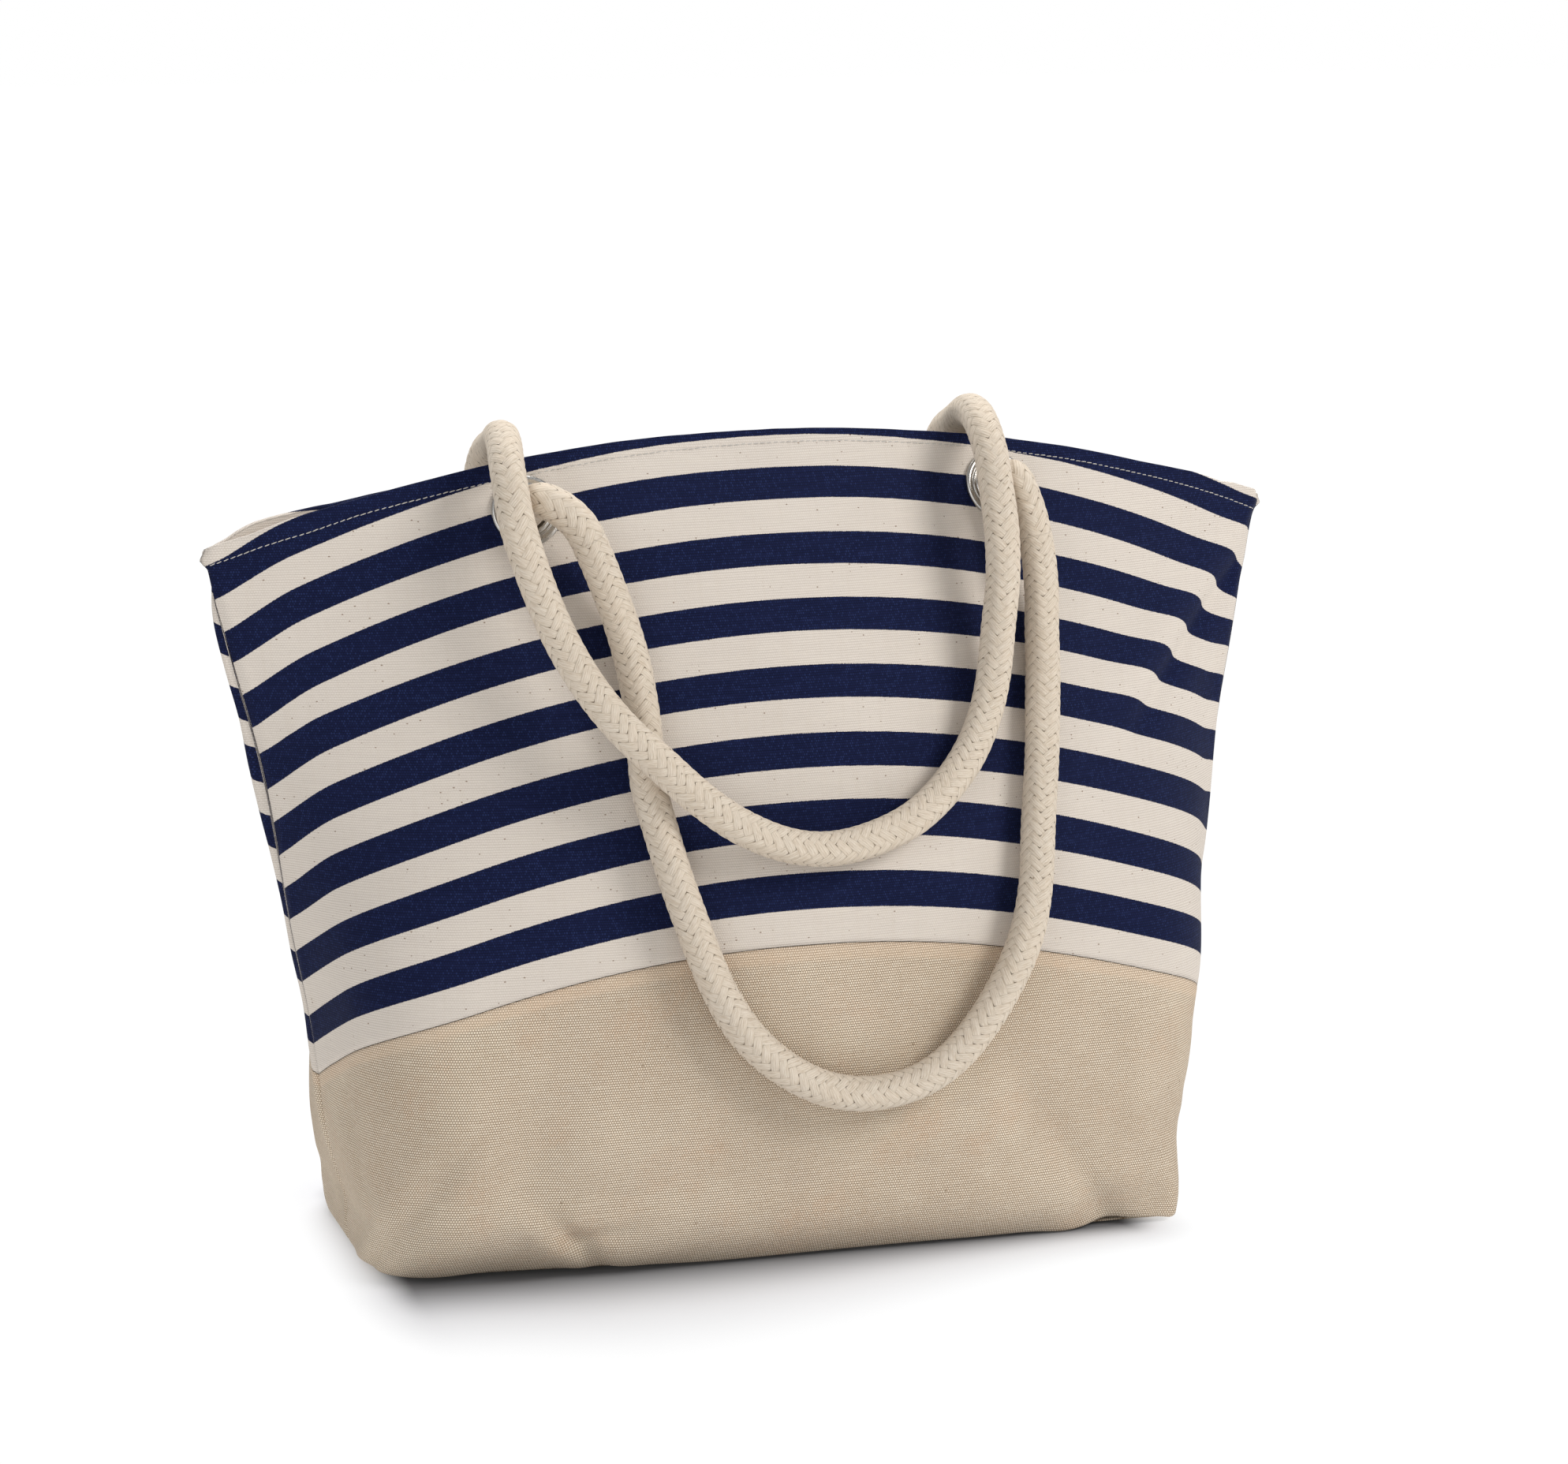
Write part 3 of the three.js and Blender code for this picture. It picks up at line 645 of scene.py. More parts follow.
def rope_material(name):
    t = Tree(name)
    _, u, v = t.uv("rope")  # turn 0..1 round the rope, metres along it
    a = t.m("ADD", t.m("MULTIPLY", u, float(STRANDS)), t.m("DIVIDE", v, BRAID_PITCH * MM))
    b = t.m("SUBTRACT", t.m("MULTIPLY", u, float(STRANDS)), t.m("DIVIDE", v, BRAID_PITCH * MM))
    wob = t.m("MULTIPLY", t.m("SUBTRACT", t.noise(t.vec(t.m("MULTIPLY", u, 0.052), v, 0.0), 160.0, 2.0), 0.5), 0.22)
    a, b = t.m("ADD", a, wob), t.m("ADD", b, wob)
    i, j = t.m("FLOOR", a), t.m("FLOOR", b)
    sel = t.m("LESS_THAN", t.m("FLOORED_MODULO", t.m("ADD", i, j), 4.0), 2.0)
    fa, fb = t.m("SUBTRACT", t.m("FRACT", a), 0.5), t.m("SUBTRACT", t.m("FRACT", b), 0.5)
    nsel = t.m("SUBTRACT", 1.0, sel)
    across = t.m("ADD", t.m("MULTIPLY", fa, sel), t.m("MULTIPLY", fb, nsel))
    ta = t.m("FLOORED_MODULO", t.m("ADD", b, i), 4.0)                       # 0..2 on a strand of the first family
    tb = t.m("FLOORED_MODULO", t.m("SUBTRACT", t.m("ADD", a, j), 2.0), 4.0)  # 0..2 on one of the second
    along = t.m("ADD", t.m("MULTIPLY", ta, sel), t.m("MULTIPLY", tb, nsel))
    arch = t.m("SINE", t.m("MULTIPLY", along, math.pi / 2))
    yarns = t.m("ABSOLUTE", t.m("SINE", t.m("MULTIPLY", t.m("ADD", across, 0.5), math.pi * 4)))
    near_edge = t.sstep(t.m("ABSOLUTE", across), 0.30, 0.50)      # 1 at the edges of a strand
    near_end = t.m("SUBTRACT", 1.0, t.sstep(arch, 0.05, 0.62))    # 1 where a strand dives under its neighbours
    crown = t.m("SUBTRACT", 1.0, t.m("MULTIPLY", t.m("POWER", t.m("ABSOLUTE", t.m("MULTIPLY", across, 2.0)), 3.0), 0.55))
    solid = t.m("MULTIPLY", crown, t.m("ADD", 0.3, t.m("MULTIPLY", t.m("POWER", t.m("MAXIMUM", arch, 0.0), 0.5), 0.7)))
    strand_id = t.white(t.vec(t.m("ADD", t.m("MULTIPLY", i, sel), t.m("MULTIPLY", j, nsel)), t.m("ADD", sel, 3.0)))
    # position along a strand, for fibres that run with it
    lengthwise = t.m("ADD", t.m("MULTIPLY", b, sel), t.m("MULTIPLY", a, nsel))
    sideways = t.m("ADD", t.m("MULTIPLY", a, sel), t.m("MULTIPLY", b, nsel))
    fibre = t.noise(t.vec(t.m("MULTIPLY", lengthwise, 0.40), t.m("MULTIPLY", sideways, 4.0), sel), 2.4, 3.0, 0.6)
    fine = t.noise(t.vec(t.m("MULTIPLY", u, 0.052), v, 0.0), 2600.0, 2.0)
    blot = t.noise(t.vec(t.m("MULTIPLY", u, 0.052), v, 3.0), 60.0, 3.0)
    c = t.mix(blot, lin(212, 197, 178), lin(223, 210, 193))
    c = t.mix(t.m("MULTIPLY", t.sstep(fibre, 0.38, 0.68), 0.46), c, lin(242, 233, 219))
    c = t.mix(t.m("MULTIPLY", t.sstep(fibre, 0.50, 0.30), 0.46), c, lin(182, 162, 136))
    # painted shade: darker in the grooves between the yarns of each strand
    c = t.mix(t.m("MULTIPLY", t.m("SUBTRACT", 1.0, yarns), 0.26), c, lin(182, 164, 139))
    c = t.mix(t.m("MULTIPLY", strand_id, 0.12), c, lin(236, 216, 192))
    # painted shade: darker at the edges of each strand, where it curves down
    c = t.mix(t.m("MULTIPLY", near_edge, 0.20), c, lin(164, 144, 116))
    # painted shade: the slits between strands where they cross over, some open and some closed, are coloured deep brown
    spot = t.sstep(t.white(t.vec(t.m("FLOOR", t.m("ADD", t.m("MULTIPLY", a, 1.0), 0.5)), t.m("FLOOR", t.m("ADD", t.m("MULTIPLY", b, 1.0), 0.5)))), 0.25, 0.95)
    gap = t.m("MULTIPLY", t.m("MULTIPLY", t.sstep(t.m("ABSOLUTE", across), 0.36, 0.47), near_end), t.m("ADD", 0.16, t.m("MULTIPLY", spot, 0.78)))
    c = t.mix(gap, c, lin(92, 76, 56))
    d1, c1 = t.voronoi(t.vec(t.m("MULTIPLY", u, 0.052), v, 0.0), 210.0)
    pick = t.nt.nodes.new("ShaderNodeSeparateColor")
    t.nt.links.new(c1, pick.inputs[0])
    fleck = t.m("MULTIPLY", t.sstep(t.m("SUBTRACT", 0.15, d1), 0.0, 0.08), t.sstep(pick.outputs[0], 0.90, 1.0))
    c = t.mix(t.m("MULTIPLY", fleck, 0.6), c, lin(124, 100, 74))
    t.set(Base_Color=c, Roughness=t.remap(solid, 0.0, 1.0, 0.98, 0.90))
    t.bsdf.inputs["Specular IOR Level"].default_value = 0.12
    t.bsdf.inputs["Sheen Weight"].default_value = 0.12
    t.bsdf.inputs["Sheen Roughness"].default_value = 0.4
    height = t.m("ADD", t.m("SUBTRACT", t.m("ADD", t.m("MULTIPLY", solid, 0.38), t.m("MULTIPLY", yarns, 0.22)), t.m("MULTIPLY", gap, 0.9)),
                 t.m("ADD", t.m("MULTIPLY", fibre, 0.85), t.m("MULTIPLY", fine, 0.45)))
    t.bump(height, 0.00045, 0.8)
    return t.mat


def metal_material(name):
    t = Tree(name)
    co = t.nt.nodes.new("ShaderNodeTexCoord")
    o = co.outputs["Object"]
    n1 = t.noise(o, 900.0, 3.0)
    n2 = t.noise(o, 130.0, 3.0)
    c = t.mix(n2, lin(176, 174, 170), lin(204, 201, 196))
    c = t.mix(t.m("MULTIPLY", t.sstep(n1, 0.62, 0.8), 0.35), c, lin(150, 146, 140))
    t.set(Base_Color=c, Metallic=1.0, Roughness=t.remap(n1, 0.3, 0.7, 0.24, 0.36))
    t.bump(t.m("ADD", n1, t.m("MULTIPLY", n2, 0.5)), 0.00002, 0.35)
    return t.mat


def thread_material(name):
    t = Tree(name)
    _, u, v = t.uv("thread")
    ply = t.m("SINE", t.m("ADD", t.m("MULTIPLY", v, 2 * math.pi * 3.0), t.m("MULTIPLY", u, 2 * math.pi)))
    n = t.noise(t.vec(u, v, 0.0), 30.0, 2.0)
    # painted shade and highlight: the thread is darker in the grooves of its twist and lighter on its crests
    c = t.mix(t.remap(ply, -1.0, 1.0, 0.0, 1.0), lin(178, 172, 164), lin(226, 221, 212))
    c = t.mix(t.m("MULTIPLY", n, 0.25), c, lin(150, 146, 150))
    t.set(Base_Color=c, Roughness=t.remap(n, 0.0, 1.0, 0.6, 0.85))
    t.bsdf.inputs["Sheen Weight"].default_value = 0.15
    t.bump(ply, 0.00006, 0.8)
    return t.mat


CANVAS = canvas_material("striped_canvas")
JUCO = juco_material("jute_weave")
ROPE = rope_material("cotton_rope")
NICKEL = metal_material("nickel")
THREAD = thread_material("hem_thread")


# -------------------------------------------------------------------- ropes
ROPE_R = 8.3
FRONT_ROPE = [
    [-124, -49, 364], [-116, -55, 360], [-108, -58, 352], [-102, -58.5, 340], [-96, -58.5, 325],
    [-90, -59, 308], [-86, -63, 291], [-84, -67.5, 275], [-83, -71.5, 259], [-83.5, -77.5, 233],
    [-80, -84, 213], [-76, -89.5, 195], [-71, -94.5, 176], [-65, -100, 155], [-57, -104, 135],
    [-44, -107.5, 115], [-25, -110, 98], [-5, -111, 88], [16, -112, 85], [38, -113, 89],
    [56, -113, 99], [72, -112.5, 115], [86, -110, 134], [97, -105, 153], [105, -98, 176],
    [111, -88, 203], [117, -78, 230], [122, -68.5, 257], [125, -62.5, 275], [126, -58.5, 292],
    [126, -57.5, 310], [123, -58, 333], [119, -56, 351], [115, -49, 364]]
BACK_ROPE = [
    [-121, 49.5, 352], [-121, 50, 361.5], [-121, 45, 371], [-121.5, 36, 378], [-122.5, 25.5, 381.5],
    [-124.5, 13.5, 384.5], [-127.5, 0, 387.8], [-131, -14, 389.5], [-134.5, -28, 387.5], [-137.8, -41, 381.5],
    [-139.8, -52.5, 371.5], [-139.8, -60.5, 356],
    [-134, -66, 332], [-124, -71, 305], [-112, -78, 281], [-99, -86.5, 262], [-83, -92.5, 246],
    [-65, -95.5, 229], [-45, -97, 214], [-23, -98, 204], [-2, -97.5, 200.5], [21, -96, 203],
    [45, -92.5, 211], [66, -87, 226], [80, -80.5, 241], [89, -76, 258], [94, -73, 274],
    [97, -71.5, 295], [99.5, -70.5, 318], [100, -67.5, 341], [100, -61.5, 361], [101, -53.5, 376],
    [102.5, -42, 386.3], [105, -28, 392], [108, -14, 393], [111.5, 0, 390.5], [114.5, 13, 386.5],
    [117, 25.5, 382.5], [118, 36.5, 378], [118.5, 45, 371], [118.5, 50, 361.5], [118.5, 49.5, 352]]


def catmull(points, per=24):
    """Centripetal Catmull-Rom through the points, as the CAD route has it."""
    p = np.asarray(points, float)
    p = np.vstack([2 * p[0] - p[1], p, 2 * p[-1] - p[-2]])
    out = []
    for k in range(1, len(p) - 2):
        p0, p1, p2, p3 = p[k - 1:k + 3]
        t0 = 0.0
        t1 = t0 + np.linalg.norm(p1 - p0) ** 0.5
        t2 = t1 + np.linalg.norm(p2 - p1) ** 0.5
        t3 = t2 + np.linalg.norm(p3 - p2) ** 0.5
        t = np.linspace(t1, t2, per, endpoint=False)[:, None]
        a1 = (t1 - t) / (t1 - t0) * p0 + (t - t0) / (t1 - t0) * p1
        a2 = (t2 - t) / (t2 - t1) * p1 + (t - t1) / (t2 - t1) * p2
        a3 = (t3 - t) / (t3 - t2) * p2 + (t - t2) / (t3 - t2) * p3
        b1 = (t2 - t) / (t2 - t0) * a1 + (t - t0) / (t2 - t0) * a2
        b2 = (t3 - t) / (t3 - t1) * a2 + (t - t1) / (t3 - t1) * a3
        out.append((t2 - t) / (t2 - t1) * b1 + (t - t1) / (t2 - t1) * b2)
    out.append(p[-2][None])
    return np.vstack(out)


def even(line, step):
    d = np.concatenate([[0], np.cumsum(np.linalg.norm(np.diff(line, axis=0), axis=1))])
    n = max(2, int(round(d[-1] / step)) + 1)
    at = np.linspace(0, d[-1], n)
    return np.stack([np.interp(at, d, line[:, k]) for k in range(3)], 1), at


def tangents(line):
    t = np.gradient(line, axis=0)
    return t / np.linalg.norm(t, axis=1, keepdims=True)


def frames(line, start=(0, 0, 1)):
    """Frames along a line that turn as little as they can."""
    t = tangents(line)
    n = np.empty_like(t)
    v = np.asarray(start, float)
    v = v - t[0] * (v @ t[0])
    n[0] = v / np.linalg.norm(v)
    for k in range(1, len(t)):
        a = np.cross(t[k - 1], t[k])
        s = np.linalg.norm(a)
        v = n[k - 1]
        if s > 1e-9:
            a = a / s
            ang = math.asin(min(1.0, s))
            v = v * math.cos(ang) + np.cross(a, v) * math.sin(ang) + a * (a @ v) * (1 - math.cos(ang))
        v = v - t[k] * (v @ t[k])
        n[k] = v / np.linalg.norm(v)
    return t, n, np.cross(t, n)


def braid_height(u, v):
    """Height 0..1 of a two-over two-under braid: u turns round the rope, v mm along it."""
    a, b = u * STRANDS + v / BRAID_PITCH, u * STRANDS - v / BRAID_PITCH
    i, j = np.floor(a), np.floor(b)
    sel = np.mod(i + j, 4) < 2
    across = np.where(sel, a - i, b - j) - 0.5
    along = np.where(sel, np.mod(b + i, 4), np.mod(a + j - 2, 4))
    arch = np.clip(np.sin(along * math.pi / 2), 0, 1)
    crown = 1 - 0.55 * np.abs(2 * across) ** 3
    return crown * (0.30 + 0.70 * arch ** 0.5)


def rope_rings(line, seg=72, step=0.78, radius=ROPE_R, start=(0, 0, 1), flat=None):
    """Every ring of a braided rope: (rings, seg, 3) points, lengths along it, centres."""
    pts, at = even(line, step)
    t, n, b = frames(pts, start)
    u = np.arange(seg) / seg
    uu, vv = np.meshgrid(u, at)
    # a cotton rope is a little uneven along its length
    uneven = 0.12 * np.sin(at / 23.0) + 0.10 * np.sin(at / 9.7 + 1.3)
    r = radius - 0.40 + 0.50 * braid_height(uu, vv) + uneven[:, None] * 0.6
    r = r + 0.16 * np.sin(uu * 2 * math.pi * 3 + vv / 13.0)
    # wall of a tight bend: keep its inner side from folding through itself
    k = np.gradient(t, axis=0) / (at[1] - at[0])
    kn, kb = (k * n).sum(1), (k * b).sum(1)
    c, s = np.cos(2 * math.pi * u), np.sin(2 * math.pi * u)
    bend = kn[:, None] * c + kb[:, None] * s
    limit = 0.82 / np.maximum(bend, 1e-6)
    r = np.where(bend > 0, np.minimum(r, limit), r)
    ring = pts[:, None] + r[..., None] * (c[None, :, None] * n[:, None] + s[None, :, None] * b[:, None])
    return ring, at, pts


def rope_mesh(name, ring, at, caps=(True, True), round_caps=(False, False), centre=None):
    """A closed mesh of rope rings. A round cap is drawn in over a few rings, as a cut end is."""
    R, at = ring, at.copy()
    seg = R.shape[1]
    for end in (0, 1):
        if round_caps[end]:
            c = R[0].mean(0) if end == 0 else R[-1].mean(0)
            axis = (R[0] - R[2]).mean(0) if end == 0 else (R[-1] - R[-3]).mean(0)
            axis /= np.linalg.norm(axis)
            extra, ats = [], []
            for f, o in ((0.96, 0.6), (0.86, 1.3), (0.66, 1.9), (0.40, 2.2), (0.15, 2.3)):
                base = R[0] if end == 0 else R[-1]
                extra.append(c + (base - c) * f + axis * o)
                ats.append((at[0] - o) if end == 0 else (at[-1] + o))
            if end == 0:
                R, at = np.concatenate([np.array(extra[::-1]), R]), np.concatenate([ats[::-1], at])
            else:
                R, at = np.concatenate([R, np.array(extra)]), np.concatenate([at, ats])
    n = len(R)
    verts = R.reshape(-1, 3)
    i = np.arange(n - 1)[:, None] * seg
    k = np.arange(seg)[None]
    k2 = (k + 1) % seg
    quads = np.stack([i + k, i + k2, i + seg + k2, i + seg + k], -1).reshape(-1, 4)
    me = bpy.data.meshes.new(name)
    faces = quads.tolist() + [list(range(seg - 1, -1, -1)), list(range((n - 1) * seg, n * seg))]
    me.from_pydata((verts * MM).tolist(), [], faces)
    me.update()
    flags = np.ones(len(faces), bool)
    flags[-2:] = False
    me.polygons.foreach_set("use_smooth", flags)
    # u runs 0..1 with its seam closed per face corner
    u = np.tile(np.arange(seg) / seg, n)
    v = np.repeat(at * MM, seg)
    loops = np.empty(len(me.loops), np.int32)
    me.loops.foreach_get("vertex_index", loops)
    lu, lv = u[loops].copy(), v[loops]
    q = len(quads) * 4
    lq = lu[:q].reshape(-1, 4)
    wrap = (np.arange(len(quads)) % seg) == seg - 1
    lq[wrap, 1] = 1.0
    lq[wrap, 2] = 1.0
    lu[:q] = lq.ravel()
    layer = me.uv_layers.new(name="rope")
    layer.data.foreach_set("uv", np.stack([lu, lv], 1).astype(np.float32).ravel())
    me.materials.append(ROPE)
    ob = bpy.data.objects.new(name, me)
    scene.collection.objects.link(ob)
    return ob


def neck_blend(ob, eye, d, junction, tangent):
    """Bakes the neck's transform. Where the neck would pass from the eyelet to the handle is worked out but not used.
    """
    axis = junction - eye
    far = np.linalg.norm(axis)
    axis = axis / far
    near_spread = ROPE_R * math.sqrt(max(0.0, 1 - (axis @ d) ** 2))
    far_spread = ROPE_R * math.sqrt(max(0.0, 1 - (axis @ tangent) ** 2))
    a, b = near_spread + 1.0, far - far_spread - 0.3
    if b < a + 6:
        a, b = 0.3 * far, 0.95 * far
    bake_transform(ob)


for side_name, table, body in (("front", FRONT_ROPE, "front_handle"), ("back", BACK_ROPE, "back_handle")):
    le, re = EYE[side_name + "_left"], EYE[side_name + "_right"]
    lead = [le[1] - le[2] * 13, le[1] - le[2] * 3, le[1] + le[2] * 7]
    tail = [re[1] + re[2] * 7, re[1] - re[2] * 3, re[1] - re[2] * 13]
    line = catmull(lead + table + tail)
    # ease the turns where the rope comes out of the eyelets
    fine, _ = even(line, 1.0)
    for _ in range(14):
        fine[1:-1] = fine[1:-1] * 0.5 + (fine[:-2] + fine[2:]) * 0.25
    ring, at, pts = rope_rings(fine, start=(0, 0, 1))
    cut = 30 if side_name == "front" else 44   # mm of neck past the pivot
    first = np.argmin(np.linalg.norm(pts[:len(pts) // 3] - np.array(table[0]), axis=1))
    last = len(pts) - 1 - np.argmin(np.linalg.norm(pts[::-1][:len(pts) // 3] - np.array(table[-1]), axis=1))
    step = at[1] - at[0]
    i0, i1 = first + int(cut / step), last - int(cut / step)
    necks, ends = [], []
    loop = rope_mesh(side_name + "_rope_handle_braid", ring[i0:i1 + 1], at[i0:i1 + 1])
    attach(loop, body)
    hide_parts(side_name + "_rope_handle")
    t = tangents(pts)
    for side, sl, eye, j in (("left", slice(0, i0 + 1), le, i0), ("right", slice(i1, len(pts)), re, i1)):
        neck = rope_mesh(f"{side_name}_{side}_rope_neck", ring[sl], at[sl])
        neck_blend(neck, eye[1], eye[2], pts[j], t[j])
        necks.append(neck)
        # the stopper knot inside: the rope turns once round itself and its end hangs down
        E, D = eye[1], eye[2]
        down = np.array([0, 0, -1.0])
        down = down - D * (down @ D)
        down /= np.linalg.norm(down)
        lat = np.cross(D, down) * (1 if side == "left" else -1)
        P = [E - D * 8, E - D * 12, E - D * 15.5 - lat * 1, E - D * 18.5 - lat * 6]
        for a in np.radians([205, 235, 265, 295, 325, 355, 385, 415, 445, 475, 500, 520]):
            f = (math.degrees(a) - 205) / 315
            P.append(E - D * (19.0 - 6.0 * smooth(f * 1.15)) + 14.5 * (lat * math.cos(a) + down * -math.sin(a)))
        tip = P[-1]
        P += [tip + down * 9 - D * 1 + lat * 2, tip + down * 19 - D * 2 + lat * 3, np.array(tip + down * 32 - D * 2 + lat * 2)]
        kl, _ = even(catmull(P), 1.0)
        for _ in range(6):
            kl[1:-1] = kl[1:-1] * 0.5 + (kl[:-2] + kl[2:]) * 0.25
        kring, kat, kpts = rope_rings(kl, seg=64, step=0.85, radius=7.6)
        knot = rope_mesh(f"{side_name}_{side}_rope_knot", kring, kat, round_caps=(False, True))
        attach(knot, "bag")
        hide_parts(f"{side_name}_{side}_rope_end")
        ends.append(knot)


# ------------------------------------------------------------------- panels
FLAP = 12.0   # turned hem
COLS = 280


def columns(n=COLS):
    """Positions across a panel, closer together at the side seams."""
    u = np.linspace(-1, 1, n + 1)
    return 0.86 * u + 0.14 * np.sin(u * math.pi / 2)


def panel(name, back, kind):
    s = columns()
    n = len(s)
    if kind == "canvas":
        lo = seam_z(s) + 0.15
        top = top_z(s, back)
        hem = np.concatenate([np.linspace(0, FLAP - 1.2, 22)])[::-1]     # distances below the fold's centre line
        body = np.linspace(0, 1, 96)[:-1]
        zc = top - 1.2
        z_hem = zc[None] - hem[:, None]
        z0 = z_hem[0]
        z_body = lo[None] + (z0 - lo)[None] * body[:, None]
        z = np.concatenate([z_body, z_hem])
        S = np.broadcast_to(s, z.shape)
        rise = seam_groove(S, z, back)
        edge = z - lo[None]
        rise = rise - 0.16 * np.exp(-(edge / 0.7) ** 2)
        st = stitch_z(s, back)[None]
        rise_o = rise - 0.32 * np.exp(-((z - st) / 0.8) ** 2)
        # pleats let into the hem by its stitches
        hemzone = smooth((z - (top[None] - 13)) / 6)
        L = half_length(S, z, back)
        rise_o = rise_o + 0.16 * hemzone * np.sin(S * L / 3.1 + 1.3 * np.sin(S * L / 19.0))
        outer = cloth(S, z, np.full(z.shape, 1.0), back, rise_o)
        depth = top[None] - z
        flap = smooth((FLAP - depth) / 0.9 + 0.5)
        off_i = -0.25 - 1.2 * flap
        ripple = 0.22 * flap * np.sin(S * L / 4.3 + 0.9)
        inner = cloth(S, z, off_i, back, -0.4 * np.exp(-(edge / 1.3) ** 2) + ripple)
        # fold
        caps, cap_b = [], []
        for ang in np.radians([25, 50, 75, 90, 105, 130, 155]):
            zz = (zc + 1.2 * math.sin(ang))[None]
            oo = np.full(zz.shape, -0.22 + 1.22 * math.cos(ang))
            m = cloth(s[None], np.broadcast_to(zc[None], zz.shape), oo, back, rise_o[-1:] * (0.5 + 0.5 * math.cos(ang)) + ripple[-1:] * (0.5 - 0.5 * math.cos(ang)))
            m[..., 2] += 1.2 * math.sin(ang)
            caps.append(m[0])
            cap_b.append(1.2 * math.sin(ang) if ang < math.pi / 2 else 1.2 + 1.2 * (1 - math.sin(ang)))
        zs = z - stripe_shift(S, z, back)
        b_outer = band_at(s, zs, back)
        b_top = b_outer[-1]
        b_caps = [b_top + c / PITCH for c in cap_b]
        b_in = b_top[None] + (2.4 + (zc[None] - z)) / PITCH
        face_i = (depth < FLAP - 0.2).astype(float)
        for col in (0, -1):   # the print runs round into the seam
            b_in[:, col], face_i[:, col] = b_outer[:, col], 1.0
    else:
        top = seam_z(s) - 0.15
        R = 3.2
        arc = np.radians([0, 18, 36, 54, 72, 90])
        z_body = R + 0.6 + (top - R - 0.6)[None] * np.linspace(0, 1, 72)[:, None]
        z = np.concatenate([np.zeros((len(arc) + 2, n)), z_body[1:]])
        inset = np.zeros_like(z)
        # turned under the wall at the bottom
        z[0], inset[0] = 1.8, 4.9
        z[1], inset[1] = 0.7, 4.3
        for k, a in enumerate(arc):
            z[2 + k] = 0.5 + (R + 0.1) * (1 - math.cos(a))
            inset[2 + k] = R * (1 - math.sin(a))
        S = np.broadcast_to(s, z.shape)
        rise = seam_groove(S, np.maximum(z, 3), back) * smooth(z / 8)
        edge = top[None] - z
        rise = rise - 0.12 * np.exp(-(edge / 0.7) ** 2)
        outer = cloth(S, z, 1.0 - inset, back, rise)
        zi = np.maximum(z, 2.9 + 0.0 * z)
        inner = cloth(S, zi, -0.7 - np.minimum(inset, 4.9) * (z < 2), back, -0.3 * np.exp(-(edge / 1.3) ** 2))
        inner[..., 2] = np.maximum(inner[..., 2], 2.6)
        caps = []
    rows = z.shape[0]
    L = half_length(S, z, back)
    u = S * L * MM
    # height, used for the length up the cloth
    v = z * MM
    verts = np.concatenate([outer.reshape(-1, 3), inner.reshape(-1, 3)] + [c for c in caps])
    uv = np.concatenate([np.stack([u, v], -1).reshape(-1, 2), np.stack([u + 0.37, v + 0.21], -1).reshape(-1, 2)]
                        + [np.stack([u[-1], v[-1] + (k + 1) * 0.0005], -1) for k in range(len(caps))])
    # painted shade, kept as an attribute for the materials: along the side seams, along the canvas's lower edge and the
    # jute's upper edge, and on the jute turned under the wall
    painted_shade_outer = 0.10 * np.exp(-((1 - np.abs(S)) * L / 1.0) ** 2)
    if kind == "canvas":
        painted_shade_outer = painted_shade_outer + 0.04 * np.exp(-(edge / 0.45) ** 2)
        band = np.concatenate([b_outer.ravel(), b_in.ravel()] + b_caps)
        face = np.concatenate([np.ones(z.size), face_i.ravel()] + [np.ones(n)] * len(caps))
        painted_shade = np.concatenate([np.clip(painted_shade_outer, 0, 1).ravel(), np.zeros(z.size)] + [np.zeros(n)] * len(caps))
        attrs = {"band": band, "face": face, "painted_shade": painted_shade}
    else:
        painted_shade_outer = painted_shade_outer + 0.04 * np.exp(-(edge / 0.45) ** 2) + 0.5 * (inset > 4.0)
        join = smooth((7.5 - edge) / 1.5)
        attrs = {"painted_shade": np.concatenate([np.clip(painted_shade_outer, 0, 1).ravel(), np.zeros(z.size)]),
                 "join": np.concatenate([join.ravel(), np.zeros(z.size)])}
    # faces
    keep = np.ones((rows - 1, n - 1), bool)
    if kind == "canvas":
        zc_f = (z[:-1, :-1] + z[1:, 1:]) / 2
        s_f = np.broadcast_to((s[:-1] + s[1:]) / 2, zc_f.shape)
        L_f = half_length(s_f, zc_f, back)
        for key, (ex, ez, eb) in EYES.items():
            if eb != back:
                continue
            es = EYE[key][0]
            r = np.hypot((s_f - es) * L_f, zc_f - ez)
            keep &= r > 10.6
    base_i = rows * n
    base_c = 2 * rows * n
    jj, ii = np.nonzero(keep)
    o = jj * n + ii
    quads_o = np.stack([o, o + 1, o + n + 1, o + n], -1)
    q = base_i + o
    quads_i = np.stack([q, q + n, q + n + 1, q + 1], -1)
    faces = [quads_o, quads_i]
    # walls of the holes
    pad = np.pad(keep, 1, constant_values=True)
    walls = []
    for j in range(rows - 1):
        for i in np.nonzero(~keep[j])[0]:
            a, b, c, d = j * n + i, j * n + i + 1, (j + 1) * n + i + 1, (j + 1) * n + i
            for di, dj, e0, e1 in ((0, -1, a, b), (1, 0, b, c), (0, 1, c, d), (-1, 0, d, a)):
                if pad[j + 1 + dj, i + 1 + di]:
                    walls.append([e0, e1, base_i + e1, base_i + e0])
    if walls:
        faces.append(np.array(walls))
